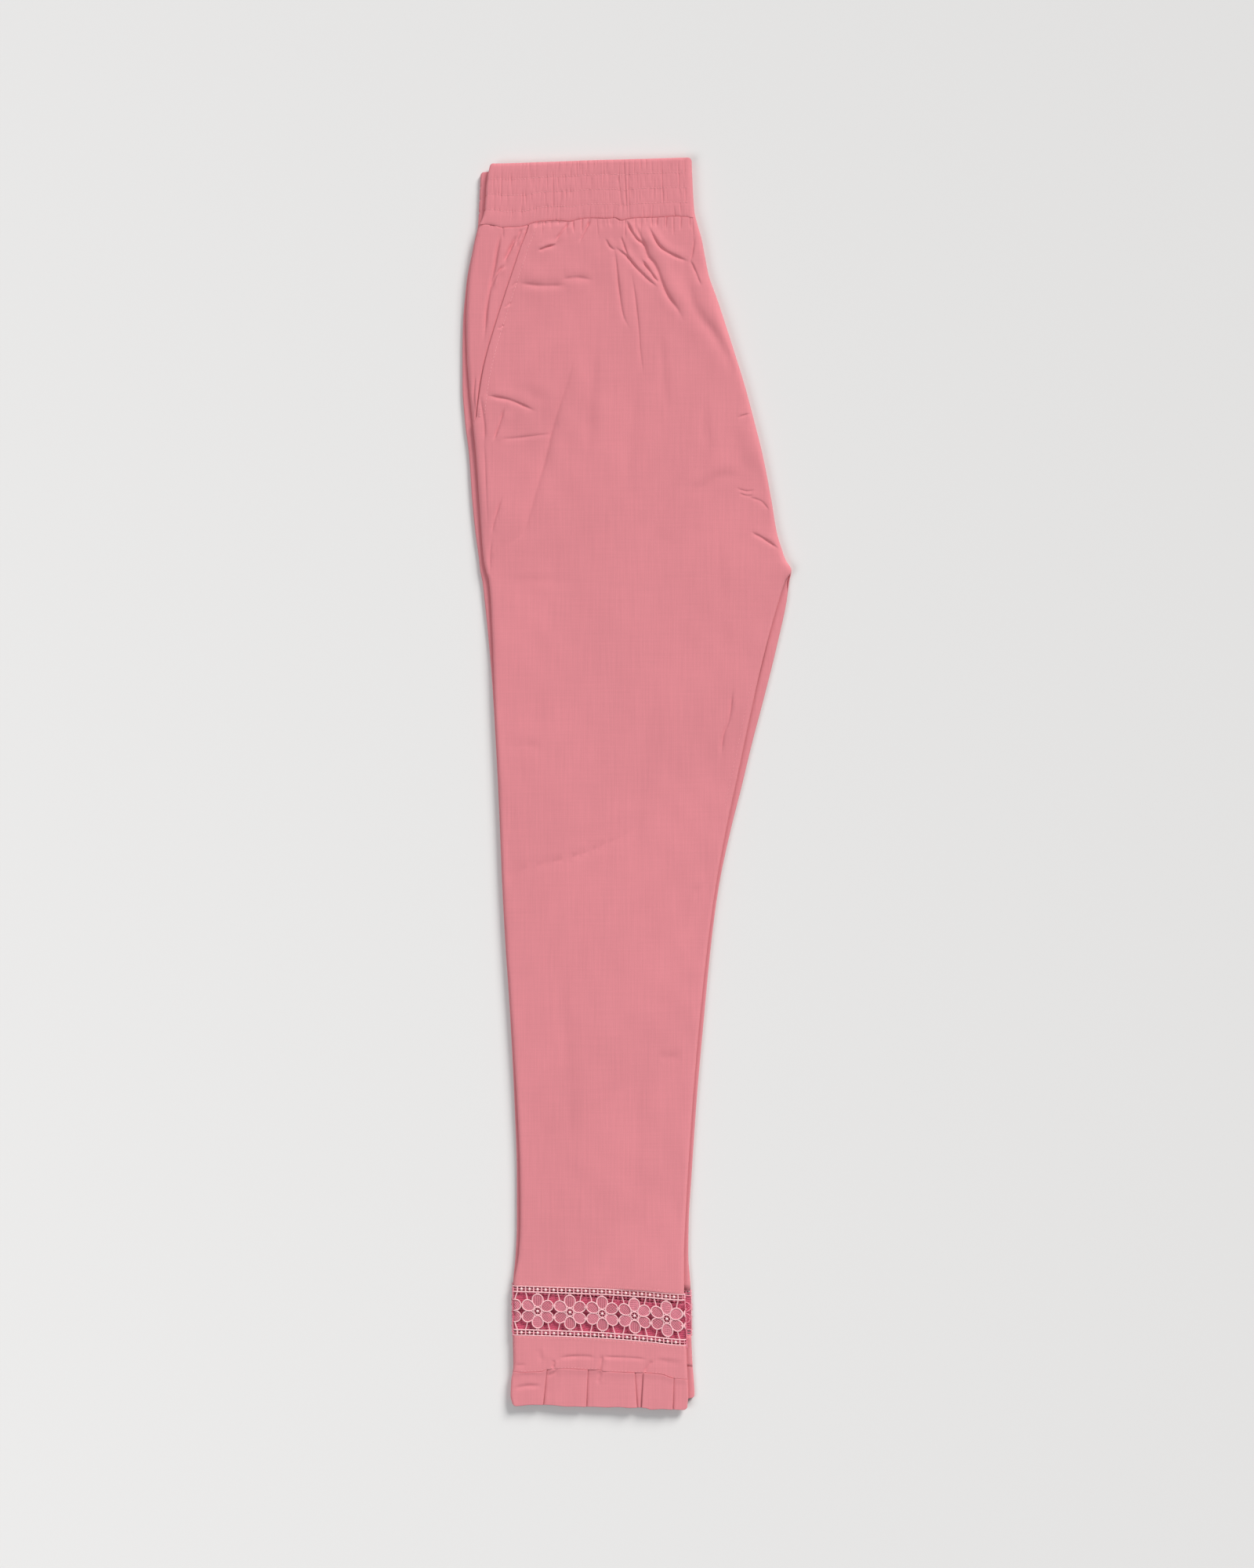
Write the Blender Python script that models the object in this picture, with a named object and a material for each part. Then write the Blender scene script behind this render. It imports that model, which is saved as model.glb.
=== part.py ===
"""Straight pull-on trousers in plain-weave cotton, folded in half lengthwise and laid flat.

The waistband points to +Y and the hems to -Y. The wearer's right leg lies on top with its front
facing up, the left leg lies beneath it with its front on the floor, and the two backs meet inside
the fold. The crotch is at +X and the side seams are at -X. Z = 0 is the floor.

Four layers of cloth lie on each other: over front, over back, under back and under front. Sizes
are in millimetres. "down" is the distance from the top edge of the waistband towards the hem,
and "across" runs from 0 at the side seam to 1 at the crotch side.
"""

import math
from bisect import bisect_right
from collections import namedtuple

import bmesh
import bpy
from mathutils.geometry import delaunay_2d_cdt

MM = 0.001

# Driving sizes
LENGTH = 965.0
CLOTH = 1.4
BAND_CLOTH = 1.7
RUFFLE_CLOTH = 1.3
GAP = 0.3
SEAM_HALF = GAP / 2
CROTCH_DOWN = 318.0
POCKET_FOOT = 200.0

# Half-widths of the two legs as they lie, measured from the middle of the folded garment.
# The over leg is the one on top.
Section = namedtuple("Section", "down over_left over_right under_left under_right")
SECTIONS = [
    Section(0.0, -105.5, 50.0, -113.0, 50.0),
    Section(15.0, -108.0, 50.5, -113.5, 50.5),
    Section(41.0, -110.0, 52.0, -114.5, 52.0),
    Section(51.5, -113.5, 54.5, -115.0, 54.5),
    Section(62.0, -117.0, 57.5, -117.3, 57.5),
    Section(75.0, -119.5, 60.0, -120.0, 60.0),
    Section(90.0, -122.0, 63.0, -123.0, 63.0),
    Section(107.0, -123.3, 69.0, -125.0, 69.0),
    Section(125.0, -124.0, 75.0, -126.5, 75.0),
    Section(150.0, -123.5, 83.0, -127.0, 83.0),
    Section(174.0, -122.0, 90.5, -127.0, 90.5),
    Section(204.0, -119.0, 98.5, -125.0, 98.5),
    Section(228.0, -116.5, 104.5, -122.0, 104.5),
    Section(264.0, -114.0, 111.5, -119.5, 111.5),
    Section(289.0, -112.3, 115.7, -117.0, 115.7),
    Section(301.0, -111.4, 119.3, -115.3, 119.3),
    Section(309.5, -110.5, 122.3, -114.2, 122.3),
    Section(CROTCH_DOWN, -108.7, 127.0, -113.3, 127.0),
    Section(325.5, -106.5, 122.3, -111.7, 125.5),
    Section(343.0, -105.0, 116.5, -109.7, 123.0),
    Section(367.5, -103.8, 109.6, -107.2, 117.7),
    Section(391.5, -102.9, 103.5, -105.0, 112.0),
    Section(422.0, -101.7, 96.6, -102.9, 104.2),
    Section(452.0, -100.2, 90.2, -101.2, 96.3),
    Section(482.5, -98.7, 83.8, -99.6, 89.0),
    Section(519.0, -97.2, 76.0, -98.0, 79.8),
    Section(561.0, -95.4, 68.4, -96.3, 71.0),
    Section(603.5, -93.0, 62.5, -94.0, 65.2),
    Section(664.0, -88.9, 56.0, -90.0, 59.3),
    Section(725.0, -85.0, 50.8, -87.0, 53.9),
    Section(785.0, -82.5, 46.8, -85.0, 49.8),
    Section(821.5, -82.3, 44.8, -85.0, 47.6),
    Section(846.0, -83.6, 43.9, -86.0, 47.3),
    Section(870.0, -87.4, 44.0, -88.0, 49.0),
    Section(907.5, -87.5, 45.4, -88.2, 49.6),
    Section(930.5, -87.2, 46.3, -87.8, 50.6),
    Section(941.5, -89.2, 46.8, -88.8, 51.5),
    Section(954.5, -89.8, 47.2, -89.2, 52.1),
    Section(LENGTH, -88.2, 46.6, -88.0, 51.8),
]

# How far down each seam lies, from the side-seam edge to the crotch edge. The folded garment is
# a little askew, so every seam leans.
Seam = namedtuple("Seam", "side quarter middle three_quarter crotch")
WAIST_EDGE = Seam(4.5, 3.5, 2.0, 1.0, 0.0)
WAIST_SEAM = Seam(51.5, 50.0, 48.5, 47.5, 46.5)
OVER_LACE_TOP = Seam(869.0, 870.0, 871.0, 873.0, 875.5)
OVER_LACE_FOOT = Seam(907.5, 908.3, 909.8, 912.3, 915.5)
OVER_RUFFLE_SEAM = Seam(932.5, 933.3, 934.8, 937.3, 940.5)
OVER_HEM = Seam(962.0, 962.0, 963.0, 964.0, LENGTH)
UNDER_LACE_TOP = Seam(867.5, 868.5, 870.0, 871.0, 873.0)
UNDER_LACE_FOOT = Seam(905.5, 906.0, 906.5, 907.0, 908.0)
UNDER_RUFFLE_SEAM = Seam(930.0, 930.5, 931.0, 931.5, 932.0)
UNDER_HEM = Seam(958.5, 958.5, 958.0, 957.5, 956.5)

# Height of the stack of cloth: at its edges, and how much the middle puffs up above them.
Stack = namedtuple("Stack", "down edge puff")
STACK = [
    Stack(46.0, 8.5, 0.2),
    Stack(58.0, 8.2, 0.9),
    Stack(90.0, 7.7, 1.8),
    Stack(150.0, 7.4, 2.3),
    Stack(215.0, 7.2, 2.3),
    Stack(300.0, 6.8, 1.8),
    Stack(400.0, 6.6, 1.3),
    Stack(700.0, 6.6, 1.0),
    Stack(860.0, 6.6, 0.6),
    Stack(935.0, 6.6, 0.5),
    Stack(LENGTH, 6.6, 0.4),
]

# The slanted pocket mouth, from the waist seam to the side seam.
Mouth = namedtuple("Mouth", "down x")
POCKET_MOUTH = [
    Mouth(46.0, -75.0),
    Mouth(72.0, -83.0),
    Mouth(100.0, -92.3),
    Mouth(127.0, -101.0),
    Mouth(149.0, -107.5),
    Mouth(166.0, -111.5),
    Mouth(182.0, -114.0),
    Mouth(POCKET_FOOT, -115.8),
]
FACING_STEP = 0.8
POCKET_END = 1.5

# The largest folds of the over front: soft ridges along straight lines.
Fold = namedtuple("Fold", "x0 down0 x1 down1 half_width height")
FOLDS = [
    Fold(1.0, 52.0, 17.0, 78.0, 7.0, 0.9),
    Fold(17.0, 78.0, 40.0, 122.0, 7.0, 1.1),
    Fold(27.0, 68.0, 47.5, 82.0, 7.0, 0.8),
    Fold(47.5, 82.0, 62.0, 128.0, 7.0, 1.1),
    Fold(62.0, 128.0, 83.0, 162.0, 7.5, 0.9),
    Fold(-8.0, 66.0, -5.0, 122.0, 7.0, 0.6),
    Fold(5.0, 92.0, 11.0, 156.0, 7.0, 0.5),
    Fold(-40.0, 148.0, -56.0, 201.0, 8.0, 0.6),
    Fold(-56.0, 201.0, -66.0, 240.0, 8.0, 0.8),
    Fold(-66.0, 240.0, -88.0, 296.0, 8.0, 0.7),
    Fold(-79.0, 97.0, -24.0, 95.0, 7.0, 0.5),
    Fold(-104.0, 184.0, -74.0, 194.0, 7.0, 0.6),
    Fold(58.0, 238.0, 12.0, 286.0, 14.0, 0.7),
    Fold(96.0, 289.0, 114.0, 301.0, 7.0, 0.7),
    Fold(-92.0, 551.0, -44.0, 538.0, 9.0, 0.4),
]

# Gathers of the elastic waistband, on the side that faces up.
GATHERS = 26
GATHER_STATIONS = 3
GATHER_HEIGHT = 0.55
STITCH_ROWS = 3

# Lace insertion: one flower and its bars to each repeat.
LACE_REPEAT = 24.85
LACE_FIRST_FLOWER = 19.25
LACE_OPEN_HALF = 14.2
PETAL_REACH = 8.1
PETAL_LONG = 4.7
PETAL_WIDE = 3.8
PETAL_DOME = 0.6
BUTTON_DOME = 0.9
BAR_OFFSET = 8.4
LACE_MARGIN = 3.4

# Pleats of the ruffle: where each folded edge lies at the seam and at the hem, which way it
# faces, and how wide it is. A fold that faces +1 stands up at its right edge.
Pleat = namedtuple("Pleat", "x_seam x_hem facing width")
PLEATS = [
    Pleat(-62.0, -65.0, 1, 24.0),
    Pleat(-30.0, -31.4, 1, 27.0),
    Pleat(5.7, 7.2, 1, 30.0),
    Pleat(13.0, 11.0, -1, 22.0),
    Pleat(35.4, 34.5, 1, 17.0),
]
PLEAT_STEP = 1.1

# Colour, roughness and metallic value of each material
CLOTH_PINK = ((0.72, 0.25, 0.29), 0.85, 0.0)
FACING_PINK = ((0.67, 0.22, 0.26), 0.87, 0.0)
LACE_PINK = ((0.80, 0.34, 0.39), 0.7, 0.0)

# Curled edges of a layer: how far in the curl starts, and the angles of its stations
SEAM_REACH = 3.0
SEAM_DEPTH = CLOTH + 0.2
FOLD_REACH = 4.5
MOUTH_REACH = 1.7
CURL_ANGLES = [math.radians(degrees) for degrees in (0, 35, 65, 90)]
CORE_FOLD_INSET = 1.95
GROOVE = 9.0


def smooth(places, values, at):
    """A curve through points that never overshoots them."""
    if at <= places[0]:
        return values[0]
    if at >= places[-1]:
        return values[-1]
    k = bisect_right(places, at) - 1

    def slope(i):
        if i <= 0 or i >= len(places) - 1:
            return 0.0
        before = (values[i] - values[i - 1]) / (places[i] - places[i - 1])
        after = (values[i + 1] - values[i]) / (places[i + 1] - places[i])
        if before * after <= 0:
            return 0.0
        return 2 * before * after / (before + after)

    step = places[k + 1] - places[k]
    t = (at - places[k]) / step
    return (
        values[k] * (1 + 2 * t) * (1 - t) ** 2
        + slope(k) * step * t * (1 - t) ** 2
        + values[k + 1] * t * t * (3 - 2 * t)
        - slope(k + 1) * step * t * t * (1 - t)
    )


def column(table, name, at):
    """A named column of a table, read at a distance down the garment."""
    return smooth([row.down for row in table], [getattr(row, name) for row in table], at)


def seam_down(seam, across):
    return smooth([0.0, 0.25, 0.5, 0.75, 1.0], list(seam), across)


def ease(low, high, at):
    """0 below low, 1 above high, and a smooth step between them."""
    t = min(1.0, max(0.0, (at - low) / (high - low)))
    return t * t * (3 - 2 * t)


def mix(a, b, share):
    return a + (b - a) * share


def bulge(across):
    """How much of the puff stands at this place across a leg."""
    return 1 - abs(2 * min(1.0, max(0.0, across)) - 1) ** 2.5


def stack_top(down, across):
    return column(STACK, "edge", down) + column(STACK, "puff", down) * bulge(across)


def y_of(down):
    return LENGTH / 2 - down


def closed_above_crotch(down):
    """1 where both legs hang together at the front fold, 0 where they are apart."""
    return 1 - ease(CROTCH_DOWN - 8, CROTCH_DOWN + 5, down)


def ridge_height(x, down):
    """Height of the largest folds at a place on the over front."""
    total = 0.0
    for fold in FOLDS:
        run_x = fold.x1 - fold.x0
        run_down = fold.down1 - fold.down0
        length_squared = run_x**2 + run_down**2
        t = ((x - fold.x0) * run_x + (down - fold.down0) * run_down) / length_squared
        inside = min(1.0, max(0.0, t))
        away = math.hypot(x - fold.x0 - run_x * inside, down - fold.down0 - run_down * inside)
        total = max(total, fold.height * math.exp(-((away / fold.half_width) ** 2)))
    return total


# Each material once, shared by the pieces that are cut from it
MATERIALS = {}


def material(name, finish):
    if name not in MATERIALS:
        made = bpy.data.materials.new(name)
        made.use_nodes = True
        shader = made.node_tree.nodes["Principled BSDF"]
        colour, roughness, metallic = finish
        shader.inputs["Base Color"].default_value = (*colour, 1.0)
        shader.inputs["Roughness"].default_value = roughness
        shader.inputs["Metallic"].default_value = metallic
        made.diffuse_color = (*colour, 1.0)
        MATERIALS[name] = made
    return MATERIALS[name]


def finish_object(name, mesh_builder, finish_name, finish):
    """Turns a bmesh in millimetres into a named object in metres."""
    bmesh.ops.recalc_face_normals(mesh_builder, faces=mesh_builder.faces)
    bmesh.ops.scale(mesh_builder, vec=(MM, MM, MM), verts=mesh_builder.verts)
    mesh = bpy.data.meshes.new(name)
    mesh_builder.to_mesh(mesh)
    mesh_builder.free()
    mesh.shade_smooth()
    mesh.set_sharp_from_angle(angle=math.radians(50))
    mesh.materials.append(material(finish_name, finish))
    made = bpy.data.objects.new(name, mesh)
    bpy.context.scene.collection.objects.link(made)
    return made


def cloth_wall(name, outer, inner, finish_name, finish, ring=False):
    """A closed wall between an outer and an inner net of points, each a list of rows."""
    builder = bmesh.new()
    out = [[builder.verts.new(point) for point in row] for row in outer]
    ins = [[builder.verts.new(point) for point in row] for row in inner]
    stations = len(outer[0])
    for i in range(stations if ring else stations - 1):
        k = (i + 1) % stations
        for j in range(len(outer) - 1):
            builder.faces.new((out[j][i], out[j + 1][i], out[j + 1][k], out[j][k]))
            builder.faces.new((ins[j][k], ins[j + 1][k], ins[j + 1][i], ins[j][i]))
        for j in (0, -1):
            builder.faces.new((out[j][i], out[j][k], ins[j][k], ins[j][i]))
    if not ring:
        for i in (0, -1):
            for j in range(len(outer) - 1):
                builder.faces.new((out[j][i], out[j + 1][i], ins[j + 1][i], ins[j][i]))
    return finish_object(name, builder, finish_name, finish)


# Curl(reach, depth): how a layer's edge turns down towards the seam
Curl = namedtuple("Curl", "reach depth")


def layer_section(left, right, left_curl, right_curl, middle_fractions):
    """Stations of one layer across a leg: (outer x, outer drop, inner x, inner drop).

    A drop is measured down from the top of the layer. Both faces turn down in quarter ellipses
    that end level, so the wall keeps its thickness at the seam."""
    stations = []

    def curl_stations(edge, inwards, curl, angles):
        for angle in angles:
            in_share = 1 - math.cos(angle)
            down_share = 1 - math.sin(angle)
            outer_x = edge + inwards * curl.reach * in_share
            inner_x = edge + inwards * (CLOTH + (curl.reach - CLOTH) * in_share)
            outer_drop = curl.depth * down_share
            inner_drop = CLOTH + (curl.depth - CLOTH) * down_share
            stations.append((outer_x, outer_drop, inner_x, inner_drop))

    curl_stations(left, 1, left_curl, CURL_ANGLES)
    flat_left = left + left_curl.reach
    flat_right = right - right_curl.reach
    for fraction in middle_fractions:
        x = mix(flat_left, flat_right, fraction)
        stations.append((x, 0.0, x, CLOTH))
    curl_stations(right, -1, right_curl, CURL_ANGLES[::-1])
    return stations


def panel_nets(rows, top_seam, foot_seam, left_of, right_of, left_curl_of, right_curl_of,
               middle_fractions, height_of, raise_of=None, leg="over"):
    """Outer and inner nets of a panel that lies between two seams.

    rows are shares of the way from the top seam to the foot seam. height_of gives the layer's
    outer height from (down, across), and raise_of what the folds add to the outer face. An
    under panel hangs upside down, with its outer face on the floor."""
    outer, inner = [], []
    for row in rows:
        def down_at(across, row=row):
            start = seam_down(top_seam, across) + SEAM_HALF
            end = seam_down(foot_seam, across) - SEAM_HALF
            return mix(start, end, row)

        whole_left = column(SECTIONS, leg + "_left", down_at(0.0))
        whole_right = column(SECTIONS, leg + "_right", down_at(1.0))

        def settle(edge_of, across):
            # An edge inside the leg lies where its own line meets the leaning row
            for _ in range(4):
                down = down_at(across)
                x = edge_of(down)
                across = (x - whole_left) / (whole_right - whole_left)
            return x, down

        left, left_down = settle(left_of, 0.0)
        right, right_down = settle(right_of, 1.0)
        section = layer_section(left, right, left_curl_of(left_down),
                                right_curl_of(right_down), middle_fractions)
        out_row, in_row = [], []
        for outer_x, outer_drop, inner_x, inner_drop in section:
            across = (outer_x - whole_left) / (whole_right - whole_left)
            down = down_at(min(1.0, max(0.0, across)))
            top = height_of(down, across)
            if leg == "under":
                out_row.append((outer_x, y_of(down), top + outer_drop))
                in_row.append((inner_x, y_of(down), top + inner_drop))
            else:
                lift = raise_of(outer_x, down) if raise_of else 0.0
                lift *= ease(0.0, SEAM_REACH * 2, outer_x - left)
                lift *= ease(0.0, SEAM_REACH * 2, right - outer_x)
                out_row.append((outer_x, y_of(down), top - outer_drop + lift))
                in_row.append((inner_x, y_of(down), top - inner_drop))
        outer.append(out_row)
        inner.append(in_row)
    return outer, inner


# Rows down the crotch edge, shared by all the layers so that they stay parallel to each other.
# The last one on the hip is at the crotch itself.
HIP_DOWNS = [56, 66, 76, 88, 100, 112, 125, 138, 151, 164, 178, 192, 206, 220, 234, 248, 262,
             275, 287, 298, 309, CROTCH_DOWN]
OVER_LEG_DOWNS = [323, 329, 337, 347, 360, 378, 402, 430, 465, 505, 550, 600, 660, 720, 775,
                  825]
UNDER_LEG_DOWNS = [323, 329, 337, 350, 370, 400, 435, 482, 530, 590, 660, 725, 785, 825, 850]


def rows_at(downs, foot_seam):
    """Rows at distances down the crotch edge, as shares of the way between a panel's seams."""
    start = WAIST_SEAM.crotch + SEAM_HALF
    end = foot_seam.crotch - SEAM_HALF
    return [0.0] + [(down - start) / (end - start) for down in downs] + [1.0]


def mouth_x(down, leg):
    """The pocket mouth's edge. The under leg's lies at the same distance from its own side."""
    x = column(POCKET_MOUTH, "x", down)
    if leg == "under":
        x += column(SECTIONS, "under_left", down) - column(SECTIONS, "over_left", down)
    return x


def front_left_edge(leg):
    def edge(down):
        side = column(SECTIONS, leg + "_left", down)
        return mix(mouth_x(down, leg), side, ease(POCKET_FOOT, POCKET_FOOT + POCKET_END, down))

    return edge


def front_left_curl(down):
    below = ease(POCKET_FOOT, POCKET_FOOT + POCKET_END, down)
    return Curl(mix(MOUTH_REACH, SEAM_REACH, below), mix(CLOTH, SEAM_DEPTH, below))


def crotch_curl(down):
    """Above the crotch the cloth turns round the front fold; below it, round the inseam."""
    closed = closed_above_crotch(down)
    fold_depth = column(STACK, "edge", down) / 2 - SEAM_HALF
    return Curl(mix(SEAM_REACH, FOLD_REACH, closed), mix(SEAM_DEPTH, fold_depth, closed))


def side_curl(down):
    return Curl(SEAM_REACH, SEAM_DEPTH)


def butt_curl(down):
    """An edge that lies against its neighbour and hardly turns down."""
    return Curl(CLOTH + 0.05, CLOTH)


def floor_height(down, across):
    return 0.0


def even(count):
    return [k / count for k in range(1, count)]


def make_front(leg):
    """One front: the over one carries the folds, the under one lies flat on the floor."""
    if leg == "over":
        rows = with_pocket_foot(rows_at(HIP_DOWNS + OVER_LEG_DOWNS, OVER_LACE_TOP),
                                OVER_LACE_TOP)
        outer, inner = panel_nets(
            rows, WAIST_SEAM, OVER_LACE_TOP, front_left_edge("over"),
            lambda down: column(SECTIONS, "over_right", down), front_left_curl, crotch_curl,
            even(18), stack_top, ridge_height)
        return cloth_wall("front_right", outer, inner, "pink_cotton", CLOTH_PINK)
    rows = with_pocket_foot(rows_at(HIP_DOWNS + UNDER_LEG_DOWNS, UNDER_LACE_TOP),
                            UNDER_LACE_TOP)
    outer, inner = panel_nets(
        rows, WAIST_SEAM, UNDER_LACE_TOP, front_left_edge("under"),
        lambda down: column(SECTIONS, "under_right", down), front_left_curl, crotch_curl,
        even(5), floor_height, leg="under")
    return cloth_wall("front_left", outer, inner, "pink_cotton", CLOTH_PINK)


def pocket_foot_share(down, foot_seam):
    return (down - WAIST_SEAM.side) / (foot_seam.side - WAIST_SEAM.side)


def with_pocket_foot(rows, foot_seam):
    """Adds the two rows between which the front's edge steps out to the side seam."""
    steps = [pocket_foot_share(down, foot_seam)
             for down in (POCKET_FOOT, POCKET_FOOT + POCKET_END)]
    apart = 0.005
    kept = [row for row in rows if all(abs(row - step) > apart for step in steps)]
    return sorted(kept + steps)


def make_facing(leg):
    """The piece that shows in the slanted pocket mouth, on the same rows as its front."""
    foot_seam = OVER_LACE_TOP if leg == "over" else UNDER_LACE_TOP
    last_row = pocket_foot_share(POCKET_FOOT - GAP, foot_seam)
    rows = [row for row in rows_at(HIP_DOWNS, foot_seam) if row < last_row - 0.005]

    def left_edge(down):
        return column(SECTIONS, leg + "_left", down)

    def right_edge(down):
        return mouth_x(down, leg) - GAP * 1.1

    def left_curl(down):
        room = right_edge(down) - left_edge(down) - MOUTH_REACH
        return Curl(min(SEAM_REACH, room), SEAM_DEPTH)

    def height(down, across):
        if leg == "under":
            return 0.0
        return stack_top(down, across) - FACING_STEP

    outer, inner = panel_nets(
        rows + [last_row], WAIST_SEAM, foot_seam, left_edge, right_edge, left_curl,
        butt_curl, even(3), height, leg=leg)
    name = "pocket_facing_right" if leg == "over" else "pocket_facing_left"
    return cloth_wall(name, outer, inner, "pink_facing", FACING_PINK)


def make_cuff(leg):
    """The plain band between the lace and the ruffle."""
    over = leg == "over"
    top_seam = OVER_LACE_FOOT if over else UNDER_LACE_FOOT
    foot_seam = OVER_RUFFLE_SEAM if over else UNDER_RUFFLE_SEAM
    outer, inner = panel_nets(
        [0.0, 0.5, 1.0] if over else [0.0, 1.0], top_seam, foot_seam,
        lambda down: column(SECTIONS, leg + "_left", down),
        lambda down: column(SECTIONS, leg + "_right", down), side_curl, side_curl,
        even(8 if over else 4), stack_top if over else floor_height, leg=leg)
    name = "cuff_front_right" if over else "cuff_front_left"
    return cloth_wall(name, outer, inner, "pink_cotton", CLOTH_PINK)


# Profile of the hidden backs at an edge, from the floor side up: how far in each point lies from
# its leg's edge, and its height as a share of the way from the floor-side face to the groove
# (first half) and from the groove to the top face (second half).
Lip = namedtuple("Lip", "inset share")
LIPS = [
    Lip(3.2, 0.0),
    Lip(1.0, 0.25),
    Lip(0.2, 0.5),
    Lip(1.0, 0.9),
    Lip(GROOVE, 0.9),
]


def backs_top(down, across):
    """Height of the hidden backs' upper face, under the over front and its pocket facing."""
    pocket_room = FACING_STEP * (1 - ease(POCKET_FOOT + 5, POCKET_FOOT + 60, down))
    return stack_top(down, across) - CLOTH - GAP - pocket_room


def backs_edge(edges, side, high_face, closed):
    """Ten points up one edge of the two backs, as (x, z, layer): the under back's lip, the
    groove, and the over back's lip.

    Above the crotch the backs turn into each other at the centre back seam, so on that side the
    edge is one rounded fold with no groove."""
    inwards = 1 if side == 0 else -1
    under, over = edges["under"][side], edges["over"][side]
    floor_face = CLOTH + GAP
    middle = (floor_face + high_face) / 2
    groove_x = inwards * (max(under * inwards, over * inwards) + GROOVE)
    points = []
    for layer, edge, face, lips in (("under", under, floor_face, LIPS),
                                    ("over", over, high_face, LIPS[::-1])):
        for lip in lips:
            z = mix(face, middle, lip.share)
            if lip.inset == GROOVE:
                lip_x = groove_x
                fold_x, fold_z = edge + inwards * (CORE_FOLD_INSET + 0.1), z
            else:
                angle = math.pi / 2 * (1 - lip.share)
                lip_x = edge + inwards * lip.inset
                run = FOLD_REACH - CORE_FOLD_INSET
                fold_x = edge + inwards * (FOLD_REACH - run * math.cos(angle))
                fold_z = mix(middle, face, math.sin(angle))
            points.append((mix(lip_x, fold_x, closed), mix(z, fold_z, closed), layer))
    return points


def make_backs():
    """Both back panels, hidden inside the fold: one solid that shows two layers at its edges."""
    feet = {"under": UNDER_RUFFLE_SEAM, "over": OVER_RUFFLE_SEAM}
    lips = len(LIPS)
    builder = bmesh.new()
    rings = []
    downs = HIP_DOWNS + UNDER_LEG_DOWNS + [880, 907]
    rows = {layer: rows_at(downs, feet[layer]) for layer in feet}
    for number in range(len(downs) + 2):
        def down_at(across, layer, number=number):
            start = seam_down(WAIST_SEAM, across) + SEAM_HALF
            end = seam_down(feet[layer], across) - SEAM_HALF
            return mix(start, end, rows[layer][number])

        edges = {}
        for layer in feet:
            edges[layer] = [column(SECTIONS, layer + name, down_at(across, layer))
                            for name, across in (("_left", 0.0), ("_right", 1.0))]

        def place(x, z, layer):
            left, right = edges[layer]
            across = min(1.0, max(0.0, (x - left) / (right - left)))
            down = down_at(across, layer)
            height = backs_top(down, across) if z is None else z
            return builder.verts.new((x, y_of(down), height))

        high_face = backs_top(down_at(0.0, "over"), 0.0)
        closed = 1 - ease(CROTCH_DOWN + 5, CROTCH_DOWN + 20, down_at(1.0, "over"))
        left_edge = backs_edge(edges, 0, high_face, 0.0)
        right_edge = backs_edge(edges, 1, high_face, closed)
        ring = {"left": [place(*point) for point in left_edge],
                "right": [place(*point) for point in right_edge]}
        for name, point, layer, height in (("top", -1, "over", None),
                                           ("over_middle", lips, "over", left_edge[lips][1]),
                                           ("under_middle", lips - 1, "under",
                                            left_edge[lips - 1][1]),
                                           ("floor", 0, "under", CLOTH + GAP)):
            if name.endswith("middle") and number not in (0, len(downs) + 1):
                continue
            ring[name] = [place(mix(left_edge[point][0], right_edge[point][0], share), height,
                                layer) for share in even(8)]
        rings.append(ring)
    loops = [ring["left"] + ring["top"] + ring["right"][::-1] + ring["floor"][::-1]
             for ring in rings]
    for loop, following in zip(loops, loops[1:]):
        for i in range(len(loop)):
            k = (i + 1) % len(loop)
            builder.faces.new((loop[i], following[i], following[k], loop[k]))
    # The ends are closed in columns that follow the curved seams
    for ring in (rings[0], rings[-1]):
        left, right = ring["left"], ring["right"]
        levels = [ring["floor"], ring["under_middle"], ring["over_middle"], ring["top"]]
        for low, high in zip(levels, levels[1:]):
            for i in range(len(low) - 1):
                builder.faces.new((low[i], low[i + 1], high[i + 1], high[i]))
        for edge, i in ((left, 0), (right, -1)):
            floor, under_middle, over_middle, top = (level[i] for level in levels)
            builder.faces.new([floor, under_middle, *edge[lips - 1::-1]])
            builder.faces.new([under_middle, over_middle, edge[lips], edge[lips - 1]])
            builder.faces.new([over_middle, top, *edge[:lips - 1:-1]])
    return finish_object("back_panels", builder, "pink_cotton", CLOTH_PINK)


def turn(centre_x, centre_z, radius, start_degrees, end_degrees, steps):
    """Points round a turn of cloth, with the direction that faces out of it."""
    points = []
    for k in range(1, steps):
        angle = math.radians(mix(start_degrees, end_degrees, k / steps))
        out_x, out_z = math.cos(angle), math.sin(angle)
        points.append((centre_x + radius * out_x, centre_z + radius * out_z, out_x, out_z))
    return points


def gather_wave(across):
    """Uneven gathers from 0 in a valley to 1 on a crest."""
    wander = 0.30 * math.sin(19.0 * across) + 0.22 * math.sin(47.0 * across + 1.0)
    wave = 0.5 - 0.5 * math.cos(2 * math.pi * (GATHERS * across + wander))
    return wave * (0.75 + 0.25 * math.sin(31.0 * across + 2.0))


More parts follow.
